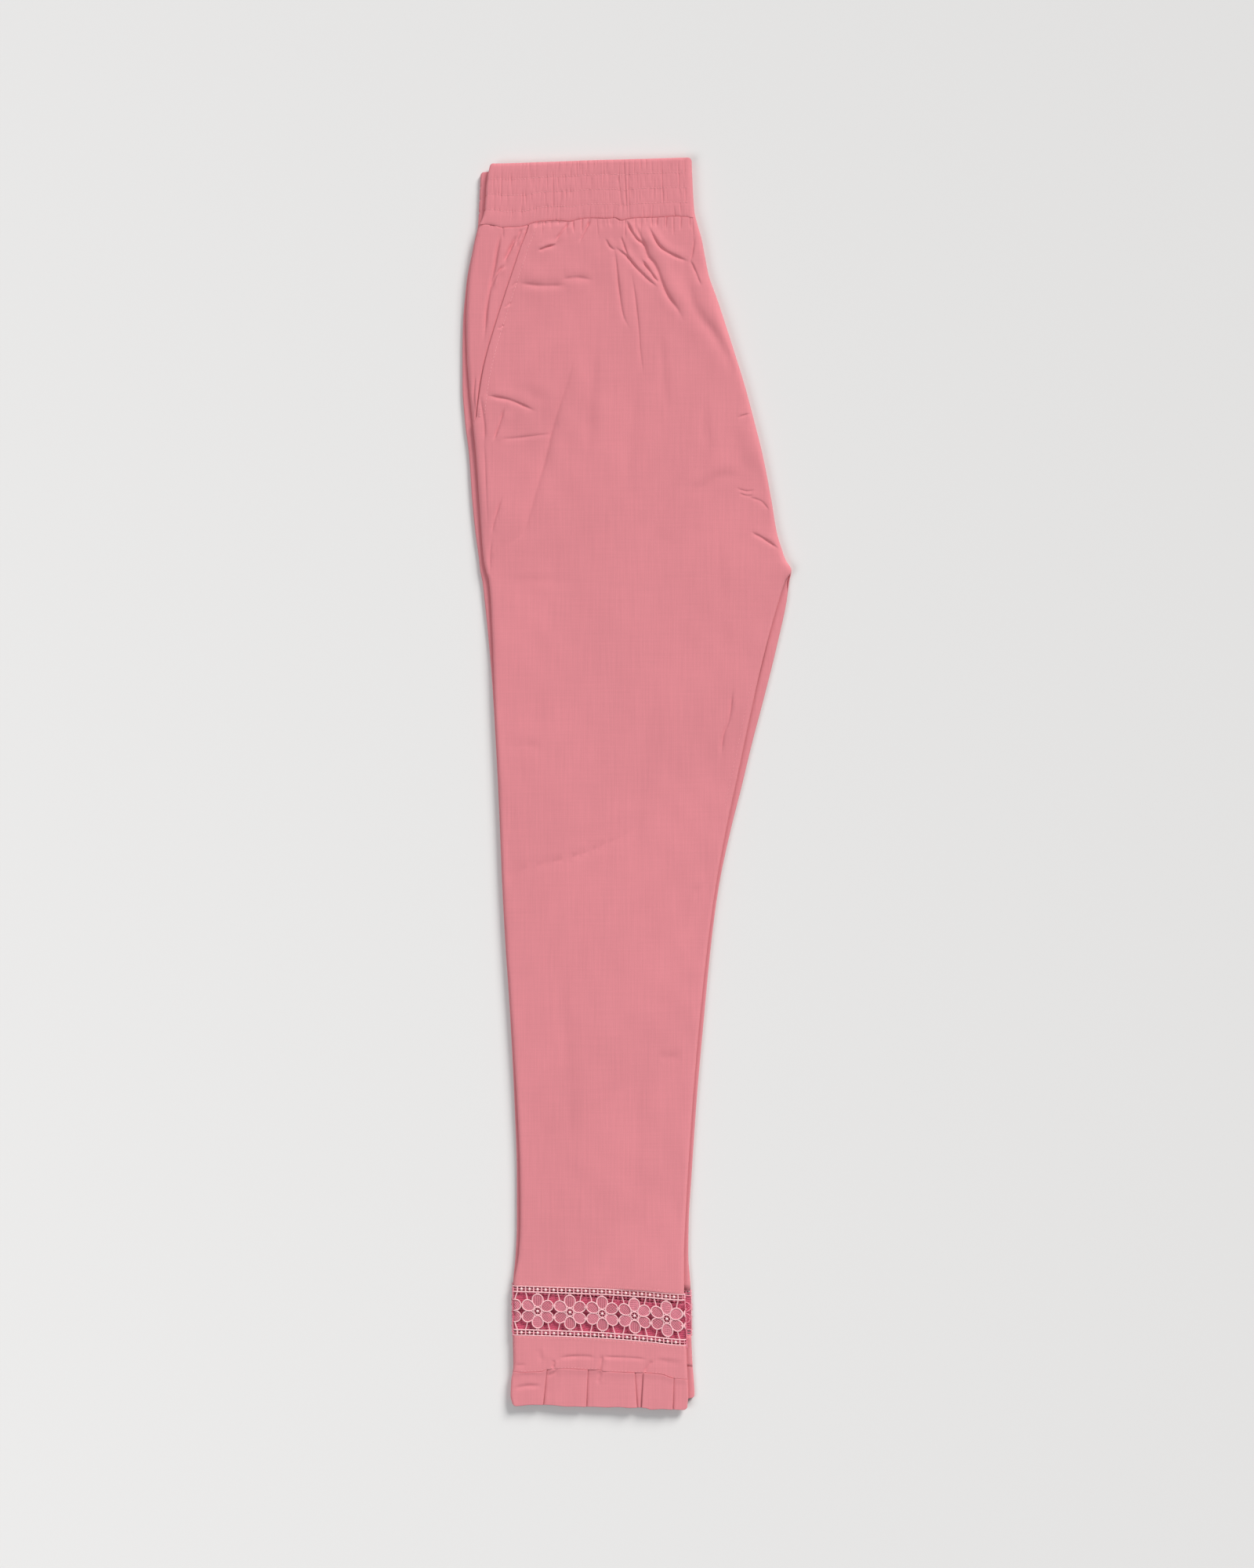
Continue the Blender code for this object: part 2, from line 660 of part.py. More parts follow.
def make_waistband():
    """The elastic band: one ring of cloth, folded in half with the rest of the garment.

    Its section runs along the over front, round the front fold, back along the under front,
    round the under side, along both backs with the centre back fold between them, and round
    the over side."""
    half_wall = BAND_CLOTH / 2
    pitch = BAND_CLOTH + 0.4
    levels = [half_wall + pitch * k for k in range(4)]
    small_turn = pitch / 2
    big_turn = (levels[3] - levels[0]) / 2
    centre = (levels[3] + levels[0]) / 2
    # Shares of the band's depth, how thick its wall is there, and how strongly it is gathered:
    # the cloth puffs between the rows of stitching and is pinched at them
    BandRow = namedtuple("BandRow", "share thickness gathered")
    band_rows = [BandRow(0.0, 0.55, 0.2), BandRow(0.035, 1.0, 0.8)]
    channel = 1 / (STITCH_ROWS + 1)
    for k in range(STITCH_ROWS):
        band_rows.append(BandRow((k + 0.5) * channel, 1.0, 1.0))
        band_rows.append(BandRow((k + 1) * channel, 0.72, 0.6))
    band_rows.append(BandRow(1.0, 1.0, 0.9))
    outer, inner = [], []
    for band_row in band_rows:
        def down_at(across, share=band_row.share):
            foot = seam_down(WAIST_SEAM, across) - SEAM_HALF
            return mix(seam_down(WAIST_EDGE, across), foot, share)

        left_edge = column(SECTIONS, "over_left", down_at(0.0))
        right_edge = column(SECTIONS, "over_right", down_at(1.0))
        over = left_edge + half_wall + small_turn
        under = column(SECTIONS, "under_left", down_at(0.0)) + half_wall + small_turn
        right = right_edge - half_wall - big_turn
        inner_right = right - 0.6
        path = []
        stations = GATHERS * GATHER_STATIONS
        for k in range(stations + 1):
            share = k / stations
            lift = GATHER_HEIGHT * gather_wave(share) * band_row.gathered
            path.append((mix(over, right, share), levels[3], 0.0, 1.0, lift))
        path += [(*point, 0.0) for point in turn(right, centre, big_turn, 90, -90, 8)]
        path += [(mix(right, under, k / 4), levels[0], 0.0, -1.0, 0.0) for k in range(5)]
        lower = (levels[0] + levels[1]) / 2
        path += [(*point, 0.0) for point in turn(under, lower, small_turn, 270, 90, 5)]
        path += [(mix(under, inner_right, k / 3), levels[1], 0.0, 1.0, 0.0) for k in range(4)]
        path += [(x, z, -nx, -nz, 0.0)
                 for x, z, nx, nz in turn(inner_right, centre, small_turn, -90, 90, 5)]
        path += [(mix(inner_right, over, k / 3), levels[2], 0.0, -1.0, 0.0) for k in range(4)]
        upper = (levels[2] + levels[3]) / 2
        path += [(*point, 0.0) for point in turn(over, upper, small_turn, 270, 90, 5)]
        wall = half_wall * band_row.thickness
        out_row, in_row = [], []
        for x, z, nx, nz, lift in path:
            across = min(1.0, max(0.0, (x - left_edge) / (right_edge - left_edge)))
            y = y_of(down_at(across))
            reach = half_wall if z == levels[0] else wall + lift
            out_row.append((x + nx * reach, y, z + nz * reach))
            in_row.append((x - nx * wall, y, z - nz * wall))
        outer.append(out_row)
        inner.append(in_row)
    return cloth_wall("waistband", outer, inner, "pink_cotton", CLOTH_PINK, ring=True)


def pleat_height(x, pleats):
    """A pleat climbs slowly over its width and drops at its folded edge."""
    height = 0.0
    for edge, pleat in pleats:
        behind = (edge - x) * pleat.facing
        if 0.0 <= behind <= pleat.width:
            height = max(height, PLEAT_STEP * (1 - behind / pleat.width))
    return height


def make_ruffle(leg):
    """The pleated frill round one hem: a flattened ring, open at both ends."""
    over = leg == "over"
    top_seam = OVER_RUFFLE_SEAM if over else UNDER_RUFFLE_SEAM
    hem = OVER_HEM if over else UNDER_HEM
    half_wall = RUFFLE_CLOTH / 2
    pitch = RUFFLE_CLOTH + 0.4
    radius = pitch / 2
    floor = 0.0 if not over else 2 * RUFFLE_CLOTH + 0.4 + GAP
    low, high = floor + half_wall, floor + half_wall + pitch
    outer, inner = [], []
    for share in (0.0, 0.5, 1.0):
        def down_at(across, share=share):
            start = seam_down(top_seam, across) + SEAM_HALF
            return mix(start, seam_down(hem, across), share)

        left_edge = column(SECTIONS, leg + "_left", down_at(0.0))
        right_edge = column(SECTIONS, leg + "_right", down_at(1.0))
        left = left_edge + half_wall + radius
        right = right_edge - half_wall - radius
        stations = [0.0, 0.04, 1.0]
        if over:
            pleats = [(mix(pleat.x_seam, pleat.x_hem, share), pleat) for pleat in PLEATS]
            for edge, pleat in pleats:
                start = edge - pleat.facing * pleat.width
                for x in (start, (start + edge) / 2, edge, edge + pleat.facing * 0.5):
                    stations.append(min(1.0, max(0.0, (x - left) / (right - left))))
        stations = sorted(set(round(station, 5) for station in stations))
        path = []
        for station in stations:
            x = mix(left, right, station)
            lift = pleat_height(x, pleats) if over else 0.0
            path.append((x, high, 0.0, 1.0, lift * mix(0.75, 1.0, share)))
        middle = (low + high) / 2
        path += [(*point, 0.0) for point in turn(right, middle, radius, 90, -90, 5)]
        path += [(mix(right, left, k / 9), low, 0.0, -1.0, 0.0) for k in range(10)]
        path += [(*point, 0.0) for point in turn(left, middle, radius, 270, 90, 5)]
        out_row, in_row = [], []
        for x, z, nx, nz, lift in path:
            across = min(1.0, max(0.0, (x - left_edge) / (right_edge - left_edge)))
            y = y_of(down_at(across))
            out_row.append((x + nx * half_wall, y, z + nz * (half_wall + lift)))
            in_row.append((x - nx * half_wall, y, z - nz * half_wall))
        outer.append(out_row)
        inner.append(in_row)
    name = "ruffle_right" if over else "ruffle_left"
    return cloth_wall(name, outer, inner, "pink_cotton", CLOTH_PINK, ring=True)


def lace_gaps(flower_x):
    """Outlines of the open gaps round one flower, in millimetres from the lace's middle line."""
    half = LACE_REPEAT / 2
    outlines = [[(half - 2.5, 0.0), (half, -2.3), (half + 2.5, 0.0), (half, 2.3)]]
    for up in (1, -1):
        outlines.append([
            (BAR_OFFSET + 0.5, up * LACE_OPEN_HALF),
            (BAR_OFFSET + 0.8, up * 9.6),
            (half - 1.0, up * 4.9),
            (half + 1.0, up * 4.9),
            (LACE_REPEAT - BAR_OFFSET - 0.8, up * 9.6),
            (LACE_REPEAT - BAR_OFFSET - 0.5, up * LACE_OPEN_HALF),
        ])
        for side in (1, -1):
            outlines.append([
                (side * 2.4, up * LACE_OPEN_HALF),
                (side * 4.0, up * 11.2),
                (side * 4.6, up * 9.0),
                (side * (BAR_OFFSET - 0.5), up * 9.6),
                (side * (BAR_OFFSET - 0.5), up * LACE_OPEN_HALF),
            ])
    return [[(flower_x + x, t) for x, t in outline] for outline in outlines]


def petal_rings(flower_x):
    """Each petal as (centre, outline), and the button in the flower's middle."""
    rings = []
    for k in range(6):
        angle = math.radians(90 + 60 * k)
        along = (math.cos(angle), math.sin(angle))
        centre = (flower_x + PETAL_REACH * along[0], PETAL_REACH * along[1])
        outline = []
        for corner in range(5):
            turned = 2 * math.pi * corner / 5
            far = 0.8 * PETAL_LONG * math.cos(turned)
            wide = 0.8 * PETAL_WIDE * math.sin(turned)
            outline.append((centre[0] + far * along[0] - wide * along[1],
                            centre[1] + far * along[1] + wide * along[0]))
        rings.append((centre, outline, PETAL_DOME))
    rings.append(((flower_x, 0.0), [], BUTTON_DOME))
    return rings


def inside(point, outline):
    """Whether a point lies within a closed outline."""
    crossings = 0
    for (x0, t0), (x1, t1) in zip(outline, outline[1:] + outline[:1]):
        if (t0 > point[1]) != (t1 > point[1]):
            if point[0] < x0 + (point[1] - t0) * (x1 - x0) / (t1 - t0):
                crossings += 1
    return crossings % 2 == 1


def make_lace(leg):
    """The lace insertion of one front, with its open gaps cut through."""
    over = leg == "over"
    top_seam = OVER_LACE_TOP if over else UNDER_LACE_TOP
    foot_seam = OVER_LACE_FOOT if over else UNDER_LACE_FOOT
    middle_down = (top_seam.middle + foot_seam.middle) / 2
    width = column(SECTIONS, leg + "_right", middle_down)
    width -= column(SECTIONS, leg + "_left", middle_down)
    half_height = (foot_seam.middle - top_seam.middle) / 2
    flowers = []
    flower = LACE_FIRST_FLOWER - LACE_REPEAT
    while flower < width + LACE_REPEAT:
        flowers.append(flower)
        flower += LACE_REPEAT
    gaps = []
    for flower in flowers:
        for outline in lace_gaps(flower):
            xs = [point[0] for point in outline]
            if min(xs) > LACE_MARGIN and max(xs) < width - LACE_MARGIN:
                gaps.append(outline)
    raised = []
    for flower in flowers if over else []:
        for centre, outline, dome in petal_rings(flower):
            reach = PETAL_LONG if outline else 1.0
            if LACE_MARGIN + reach < centre[0] < width - LACE_MARGIN - reach:
                raised.append((centre, outline, dome))

    points, edges = [], []

    def add_line(line, loop):
        first = len(points)
        points.extend(line)
        count = len(line)
        edges.extend((first + k, first + (k + 1) % count)
                     for k in range(count if loop else count - 1))

    curl_insets = [SEAM_REACH * (1 - math.cos(angle)) for angle in CURL_ANGLES[1:]]
    columns = [0.0, *curl_insets, *[width - inset for inset in curl_insets[::-1]], width]
    steps = 10
    border = [(x, half_height) for x in columns[:4]]
    border += [(mix(columns[3], columns[4], k / steps), half_height) for k in range(1, steps)]
    border += [(x, half_height) for x in columns[4:]]
    low_border = [(x, -t) for x, t in border]
    add_line(border + low_border[::-1], True)
    for x in columns[1:-1]:
        add_line([(x, half_height), (x, 0.0), (x, -half_height)], False)
    for outline in gaps:
        add_line(outline, True)
    centres = {}
    for centre, outline, dome in raised:
        centres[len(points)] = dome
        points.append(centre)
        points.extend(outline)
    found = delaunay_2d_cdt(points, edges, [], 0, 1e-5)
    flat_points, triangles, sources = found[0], found[2], found[3]
    dome_of = {}
    for index, from_points in enumerate(sources):
        for source in from_points:
            if source in centres:
                dome_of[index] = centres[source]

    builder = bmesh.new()
    is_inner = builder.verts.layers.int.new("inner")
    dome_layer = builder.verts.layers.float.new("dome")
    made = []
    for index, point in enumerate(flat_points):
        vertex = builder.verts.new((point.x, point.y, 0.0))
        vertex[dome_layer] = dome_of.get(index, 0.0)
        made.append(vertex)
    for triangle in triangles:
        corners = [flat_points[i] for i in triangle]
        centroid = (sum(c.x for c in corners) / 3, sum(c.y for c in corners) / 3)
        in_gap = any(inside(centroid, outline) for outline in gaps)
        if abs(centroid[1]) < half_height and not in_gap:
            builder.faces.new([made[i] for i in triangle])
    loose = [vertex for vertex in builder.verts if not vertex.link_faces]
    bmesh.ops.delete(builder, geom=loose, context="VERTS")
    copied = bmesh.ops.extrude_face_region(builder, geom=builder.faces[:],
                                           use_keep_orig=True)["geom"]
    for item in copied:
        if isinstance(item, bmesh.types.BMVert):
            item[is_inner] = 1

    for vertex in builder.verts:
        across = vertex.co.x / width
        share = 0.5 - vertex.co.y / (2 * half_height)

        def down_at(place, share=share):
            start = seam_down(top_seam, place) + SEAM_HALF
            return mix(start, seam_down(foot_seam, place) - SEAM_HALF, share)

        left = column(SECTIONS, leg + "_left", down_at(0.0))
        right = column(SECTIONS, leg + "_right", down_at(1.0))
        scale = (right - left) / width
        inset = min(vertex.co.x, width - vertex.co.x) * scale
        inwards = 1 if across < 0.5 else -1
        edge = left if across < 0.5 else right
        in_share = min(1.0, inset / SEAM_REACH)
        down_share = 1 - math.sqrt(1 - (1 - in_share) ** 2)
        down = down_at(across)
        top = stack_top(down, across) if over else 0.0
        if vertex[is_inner]:
            drop = CLOTH + (SEAM_DEPTH - CLOTH) * down_share
            if in_share < 1.0:
                inset = CLOTH + (SEAM_REACH - CLOTH) * in_share
            vertex[dome_layer] = 0.0
        else:
            drop = SEAM_DEPTH * down_share
        x = edge + inwards * inset
        z = top - drop + vertex[dome_layer] if over else drop
        vertex.co = (x, y_of(down), z)
    name = "lace_front_right" if over else "lace_front_left"
    return finish_object(name, builder, "pink_lace", LACE_PINK)


def main():
    for old in list(bpy.data.objects):
        bpy.data.objects.remove(old)
    make_waistband()
    make_backs()
    for leg in ("over", "under"):
        make_front(leg)
        make_facing(leg)
        make_lace(leg)
        make_cuff(leg)
        make_ruffle(leg)


main()
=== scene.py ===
# %% [markdown]
# Straight cotton trousers, folded in half and laid flat
#
# This lesson dresses a plain model of a pair of pull-on trousers. The garment has been folded
# along its centre front and back, so four layers of cloth lie on each other: the right front on
# top, the right back, the left back, and the left front on the floor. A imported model, the frame,
# already holds one plain solid for each piece. The script replaces each solid with a thin, finely
# creased cloth of the same form, and adds the lace, the stitching, the floor, lights and camera.

# %% Load the frame
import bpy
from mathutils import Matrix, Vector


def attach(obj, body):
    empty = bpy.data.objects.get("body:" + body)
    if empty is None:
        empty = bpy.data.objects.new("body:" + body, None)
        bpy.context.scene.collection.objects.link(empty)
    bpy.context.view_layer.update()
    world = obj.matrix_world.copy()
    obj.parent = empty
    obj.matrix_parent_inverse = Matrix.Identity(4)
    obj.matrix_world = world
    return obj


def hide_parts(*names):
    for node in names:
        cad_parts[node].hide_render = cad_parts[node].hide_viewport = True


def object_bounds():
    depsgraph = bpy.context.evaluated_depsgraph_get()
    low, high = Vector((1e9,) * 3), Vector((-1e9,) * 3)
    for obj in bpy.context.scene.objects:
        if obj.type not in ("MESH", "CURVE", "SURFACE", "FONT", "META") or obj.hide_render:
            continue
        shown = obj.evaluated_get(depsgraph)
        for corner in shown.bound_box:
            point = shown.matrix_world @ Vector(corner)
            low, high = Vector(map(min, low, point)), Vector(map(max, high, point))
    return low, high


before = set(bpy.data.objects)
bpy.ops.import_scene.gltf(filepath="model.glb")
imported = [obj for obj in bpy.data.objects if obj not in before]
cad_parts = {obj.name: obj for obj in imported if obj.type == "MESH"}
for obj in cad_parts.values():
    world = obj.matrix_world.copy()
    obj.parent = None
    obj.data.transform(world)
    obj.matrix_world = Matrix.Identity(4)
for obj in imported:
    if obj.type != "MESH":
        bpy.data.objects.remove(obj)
frame_low, frame_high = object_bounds()
print("frame holds", sorted(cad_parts))

# %% [markdown]
# Sizes
#
# Everything is measured in millimetres in the script and turned into metres when a mesh is made.
# "down" is the distance from the top edge of the waistband towards the hem, and x is measured
# from the middle of the folded garment. The over leg is the one on top. Its outline and the
# under leg's were read at the places where they change direction.

# %% The outline of the two legs
import math
from collections import namedtuple

import bmesh
import bpy
import numpy as np
from mathutils import Matrix, Vector

MM = 0.001
LENGTH = (frame_high.y - frame_low.y) / MM
CLOTH = 0.7
CLOTH_ROOM = 1.4
GAP = 0.3
QUARTER = math.pi / 2
CROTCH_DOWN = 318.0
POCKET_FOOT = 200.0

# Each row: down, the over leg's left and right edge, the under leg's left and right edge
OUTLINE = np.array([
    (0, -105.5, 50, -113, 50), (15, -108, 50.5, -113.5, 50.5), (41, -110, 52, -114.5, 52),
    (51.5, -113.5, 54.5, -115, 54.5), (62, -117, 57.5, -117.3, 57.5), (75, -119.5, 60, -120, 60),
    (90, -122, 63, -123, 63), (107, -123.3, 69, -125, 69), (125, -124, 75, -126.5, 75),
    (150, -123.5, 83, -127, 83), (174, -122, 90.5, -127, 90.5), (204, -119, 98.5, -125, 98.5),
    (228, -116.5, 104.5, -122, 104.5), (264, -114, 111.5, -119.5, 111.5),
    (289, -112.3, 115.7, -117, 115.7), (301, -111.4, 119.3, -115.3, 119.3),
    (309.5, -110.5, 122.3, -114.2, 122.3), (CROTCH_DOWN, -108.7, 127, -113.3, 127),
    (325.5, -106.5, 122.3, -111.7, 125.5), (343, -105, 116.5, -109.7, 123),
    (367.5, -103.8, 109.6, -107.2, 117.7), (391.5, -102.9, 103.5, -105, 112),
    (422, -101.7, 96.6, -102.9, 104.2), (452, -100.2, 90.2, -101.2, 96.3),
    (482.5, -98.7, 83.8, -99.6, 89), (519, -97.2, 76, -98, 79.8), (561, -95.4, 68.4, -96.3, 71),
    (603.5, -93, 62.5, -94, 65.2), (664, -88.9, 56, -90, 59.3), (725, -85, 50.8, -87, 53.9),
    (785, -82.5, 46.8, -85, 49.8), (821.5, -82.3, 44.8, -85, 47.6), (846, -83.6, 43.9, -86, 47.3),
    (870, -87.4, 44, -88, 49), (907.5, -87.5, 45.4, -88.2, 49.6),
    (930.5, -87.2, 46.3, -87.8, 50.6), (941.5, -89.2, 46.8, -88.8, 51.5),
    (954.5, -89.8, 47.2, -89.2, 52.1), (LENGTH, -88.2, 46.6, -88, 51.8),
])
LEFT_COLUMN = {"over": 1, "under": 3}
print("trousers", round(LENGTH), "mm long")

# %% [markdown]
# Seams lean a little, because the garment was folded slightly askew. Each one is given by how
# far down it lies at five places, from the side seam on the left to the crotch side on the right.
# The seams of the top layer also wander where the cloth is gathered or pleated into them, so
# those are lines of (x, down) points.

# %% Seams
Seam = namedtuple("Seam", "side quarter middle three_quarter crotch")
SEAM_PLACES = [0.0, 0.25, 0.5, 0.75, 1.0]
WAIST_EDGE = Seam(4.5, 3.5, 2.0, 1.0, 0.0)
WAIST_SEAM = Seam(51.5, 50.0, 48.5, 47.5, 46.5)
OVER_LACE_TOP = Seam(869.0, 870.0, 871.0, 873.0, 875.5)
OVER_LACE_FOOT = Seam(907.5, 908.3, 909.8, 912.3, 915.5)
OVER_RUFFLE_SEAM = Seam(932.5, 933.3, 934.8, 937.3, 940.5)
UNDER_LACE_TOP = Seam(867.5, 868.5, 870.0, 871.0, 873.0)
UNDER_LACE_FOOT = Seam(905.5, 906.0, 906.5, 907.0, 908.0)
UNDER_RUFFLE_SEAM = Seam(930.0, 930.5, 931.0, 931.5, 932.0)
UNDER_HEM = Seam(958.5, 958.5, 958.0, 957.5, 956.5)
BACK_LACE_TOP = Seam(870.0, 872.0, 874.5, 877.5, 879.0)
BACK_LACE_FOOT = Seam(908.0, 910.0, 912.5, 915.5, 917.5)

WAIST_LINE = [(-113.4, 51.5), (-104.0, 51.9), (-96.5, 54.0), (-91.0, 53.8), (-83.0, 53.6),
              (-76.8, 52.3), (-71.0, 50.4), (-63.3, 49.4), (-54.6, 49.0), (-44.0, 49.6),
              (-36.0, 47.7), (-28.4, 46.9), (-15.0, 47.2), (-9.0, 46.8), (-4.0, 48.8),
              (1.6, 47.6), (10.3, 46.7), (22.0, 46.4), (39.4, 45.5), (54.0, 46.3)]
RUFFLE_LINE = [(-87.2, 935.5), (-80.8, 936.0), (-65.1, 935.3), (-62.0, 933.8), (-46.3, 933.1),
               (-30.6, 933.8), (-22.1, 933.9), (-17.3, 935.2), (-2.7, 935.9), (14.2, 936.3),
               (26.3, 937.4), (34.8, 940.4), (46.3, 941.3)]
HEM_LINE = [(-88.2, 962.0), (-77.0, 961.4), (-65.7, 960.7), (-54.8, 961.3), (-42.7, 962.5),
            (-31.8, 962.2), (-10.0, 962.9), (5.7, 962.9), (14.2, 963.2), (19.1, 964.5),
            (34.8, 964.3), (46.6, LENGTH)]
print("waist seam", WAIST_SEAM.middle, "mm down, lace", OVER_LACE_TOP.middle, "mm down")

# %% [markdown]
# The stack of cloth is thickest under the waistband and puffs up in its middle. The mouth of the
# slanted pocket runs from the waist seam to the side seam.

# %% The stack's height and the pocket mouth
# Each row: down, the height at the edges, and how much higher the middle is
STACK = np.array([
    (46, 8.5, 0.2), (58, 8.2, 0.9), (90, 7.7, 1.8), (150, 7.4, 2.3), (215, 7.2, 2.3),
    (300, 6.8, 1.8), (400, 6.6, 1.3), (700, 6.6, 1), (860, 6.6, 0.6), (935, 6.6, 0.5),
    (LENGTH, 6.6, 0.4),
])
# Each row: down, x
POCKET_MOUTH = np.array([
    (46, -75), (72, -83), (100, -92.3), (127, -101), (149, -107.5), (166, -111.5), (182, -114),
    (POCKET_FOOT, -115.8),
])
FACING_STEP = 0.8
print("stack", STACK[0, 1], "mm high at the waist and", STACK[-1, 1], "mm at the hem")


# %% [markdown]
# Reading a table at any place
#
# A cloth needs its width at every row, not only where the table has one. A smooth curve through
# the values that never overshoots them keeps the outline calm. NumPy reads the curve at all the
# points of a cloth in one go, which is far quicker than a loop.

# %% Curve helpers
def along(places, values, at):
    """A curve through points that never overshoots them, read at one place or at many."""
    places = np.asarray(places, float)
    values = np.asarray(values, float)
    steps = np.diff(places)
    rises = np.diff(values) / steps
    slopes = np.zeros(len(places))
    before, after = rises[:-1], rises[1:]
    same_way = before * after > 0
    slopes[1:-1][same_way] = (2 * before * after)[same_way] / (before + after)[same_way]
    at = np.clip(at, places[0], places[-1])
    k = np.clip(np.searchsorted(places, at, side="right") - 1, 0, len(steps) - 1)
    t = (at - places[k]) / steps[k]
    start = values[k] * (1 + 2 * t) * (1 - t) ** 2 + slopes[k] * steps[k] * t * (1 - t) ** 2
    end = values[k + 1] * t * t * (3 - 2 * t) - slopes[k + 1] * steps[k] * t * t * (1 - t)
    return start + end


def read(table, column, at):
    """A column of a table, read at a distance down the garment."""
    return along(table[:, 0], table[:, column], at)


def leg_left(leg, down):
    return read(OUTLINE, LEFT_COLUMN[leg], down)


def leg_right(leg, down):
    return read(OUTLINE, LEFT_COLUMN[leg] + 1, down)


def seam_down(seam, across):
    """How far down a seam lies. A seam is five values, or a line of (x, down) points."""
    if isinstance(seam, Seam):
        return along(SEAM_PLACES, seam, across)
    xs, downs = zip(*seam)
    return along(xs, downs, xs[0] + (xs[-1] - xs[0]) * np.asarray(across, float))


def mix(a, b, share):
    return a + (b - a) * share


def rows_between(top_seam, foot_seam, shares):
    """Says how far down each row lies at a place across: it leans as the two seams do."""
    return lambda across: mix(seam_down(top_seam, across), seam_down(foot_seam, across), shares)


def ease(low, high, at):
    """0 below low, 1 above high, and a smooth step between them."""
    t = np.clip((at - low) / (high - low), 0.0, 1.0)
    return t * t * (3 - 2 * t)


def hump(distance, height, width):
    """A bell-shaped hump of a height and a half-width, at a distance from its middle."""
    return height * np.exp(-((distance / width) ** 2))


def even(count):
    return np.linspace(0.0, 1.0, count)


def share_of(x, left, right):
    """Where x lies between two edges, from 0 to 1."""
    return np.clip((x - left) / (right - left), 0.0, 1.0)


def share_across(x, down):
    return share_of(x, leg_left("over", down), leg_right("over", down))


def stack_top(down, across):
    """Height of the top of the stack, for across from 0 at the side seam to 1 at the crotch."""
    bulge = 1 - np.abs(2 * np.clip(across, 0.0, 1.0) - 1) ** 2.5
    return read(STACK, 1, down) + read(STACK, 2, down) * bulge


knee = 560.0
knee_width = leg_right("over", knee) - leg_left("over", knee)
print("over leg at the knee:", round(float(knee_width)), "mm")


# %% [markdown]
# Shader groups: the weave
#
# The cloth is a plain weave of slightly uneven, slubbed yarn. Seen close, each warp thread goes
# over one weft thread and under the next. Two sine waves at right angles give the threads, and
# their product says which one is on top. Stretched noise makes some threads thicker, which is
# what slub is, and shows from a step away as faint streaks along both thread directions.
# The group is built once, and every cloth places it at its default pitch.

# %% Node helpers
def new_group(name, outputs, **inputs):
    """A shader node group with a vector input, named numbers, and named outputs."""
    group = bpy.data.node_groups.new(name, "ShaderNodeTree")
    group.interface.new_socket("Vector", in_out="INPUT", socket_type="NodeSocketVector")
    for label, value in inputs.items():
        socket = group.interface.new_socket(label.replace("_", " "), in_out="INPUT",
                                            socket_type="NodeSocketFloat")
        socket.default_value = value
    for label in outputs:
        group.interface.new_socket(label, in_out="OUTPUT", socket_type="NodeSocketFloat")
    return group, group.nodes.new("NodeGroupInput"), group.nodes.new("NodeGroupOutput")


def maths(tree, operation, *operands):
    """A Math node: each operand is a socket or a number."""
    node = tree.nodes.new("ShaderNodeMath")
    node.operation = operation
    for slot, operand in enumerate(operands):
        if isinstance(operand, (int, float)):
            node.inputs[slot].default_value = operand
        else:
            tree.links.new(operand, node.inputs[slot])
    return node.outputs[0]


def plus_share(tree, first, second, share):
    """The first socket plus a share of the second."""
    return maths(tree, "ADD", first, maths(tree, "MULTIPLY", second, share))


def blend(tree, first, second, share):
    """A blend of two sockets: share is the second one's."""
    return plus_share(tree, maths(tree, "MULTIPLY", first, 1.0 - share), second, share)


def stretched_noise(tree, vector, stretch, detail=2.0):
    """Noise drawn out along a direction: stretch is its frequency per metre on each axis."""
    scaled = tree.nodes.new("ShaderNodeVectorMath")
    scaled.operation = "MULTIPLY"
    tree.links.new(vector, scaled.inputs[0])
    scaled.inputs[1].default_value = stretch
    noise = tree.nodes.new("ShaderNodeTexNoise")
    noise.inputs["Scale"].default_value = 1.0
    noise.inputs["Detail"].default_value = detail
    tree.links.new(scaled.outputs[0], noise.inputs["Vector"])
    return noise.outputs["Fac"]


# %% Build the weave group
def build_weave():
    group, given, result = new_group("Slubbed plain weave", ["Height", "Streaks"],
                                     Threads_per_metre=2600.0)
    vector = given.outputs["Vector"]
    split = group.nodes.new("ShaderNodeSeparateXYZ")
    group.links.new(vector, split.inputs[0])
    wander = stretched_noise(group, vector, (160.0, 160.0, 160.0))
    waves = []
    for axis in ("X", "Y"):
        turns = maths(group, "MULTIPLY", split.outputs[axis], given.outputs["Threads per metre"])
        uneven = plus_share(group, turns, wander, 0.9)
        waves.append(maths(group, "SINE", maths(group, "MULTIPLY", uneven, math.pi)))
    crossing = maths(group, "MULTIPLY", *waves)
    warp, weft = (plus_share(group, maths(group, "MULTIPLY", maths(group, "ABSOLUTE", wave), 0.5),
                             crossing, over_or_under)
                  for wave, over_or_under in zip(waves, (0.5, -0.5)))
    warp_slub = stretched_noise(group, vector, (1300.0, 26.0, 26.0))
    weft_slub = stretched_noise(group, vector, (30.0, 1100.0, 30.0))
    streaks = blend(group, warp_slub, weft_slub, 0.35)
    height = plus_share(group, maths(group, "MAXIMUM", warp, weft), streaks, 1.2)
    group.links.new(height, result.inputs["Height"])
    group.links.new(streaks, result.inputs["Streaks"])
    return group


WEAVE = build_weave()
print("weave group has", len(WEAVE.nodes), "nodes")


# %% [markdown]
# Shader groups: uneven dye and twisted thread
#
# Dyed cotton is never one even colour. Two sizes of soft noise give the slow blotches that the
# photograph shows. Sewing thread and lace cord are twisted strands, and at their scale a fine
# noise is enough to break up the highlight along them.

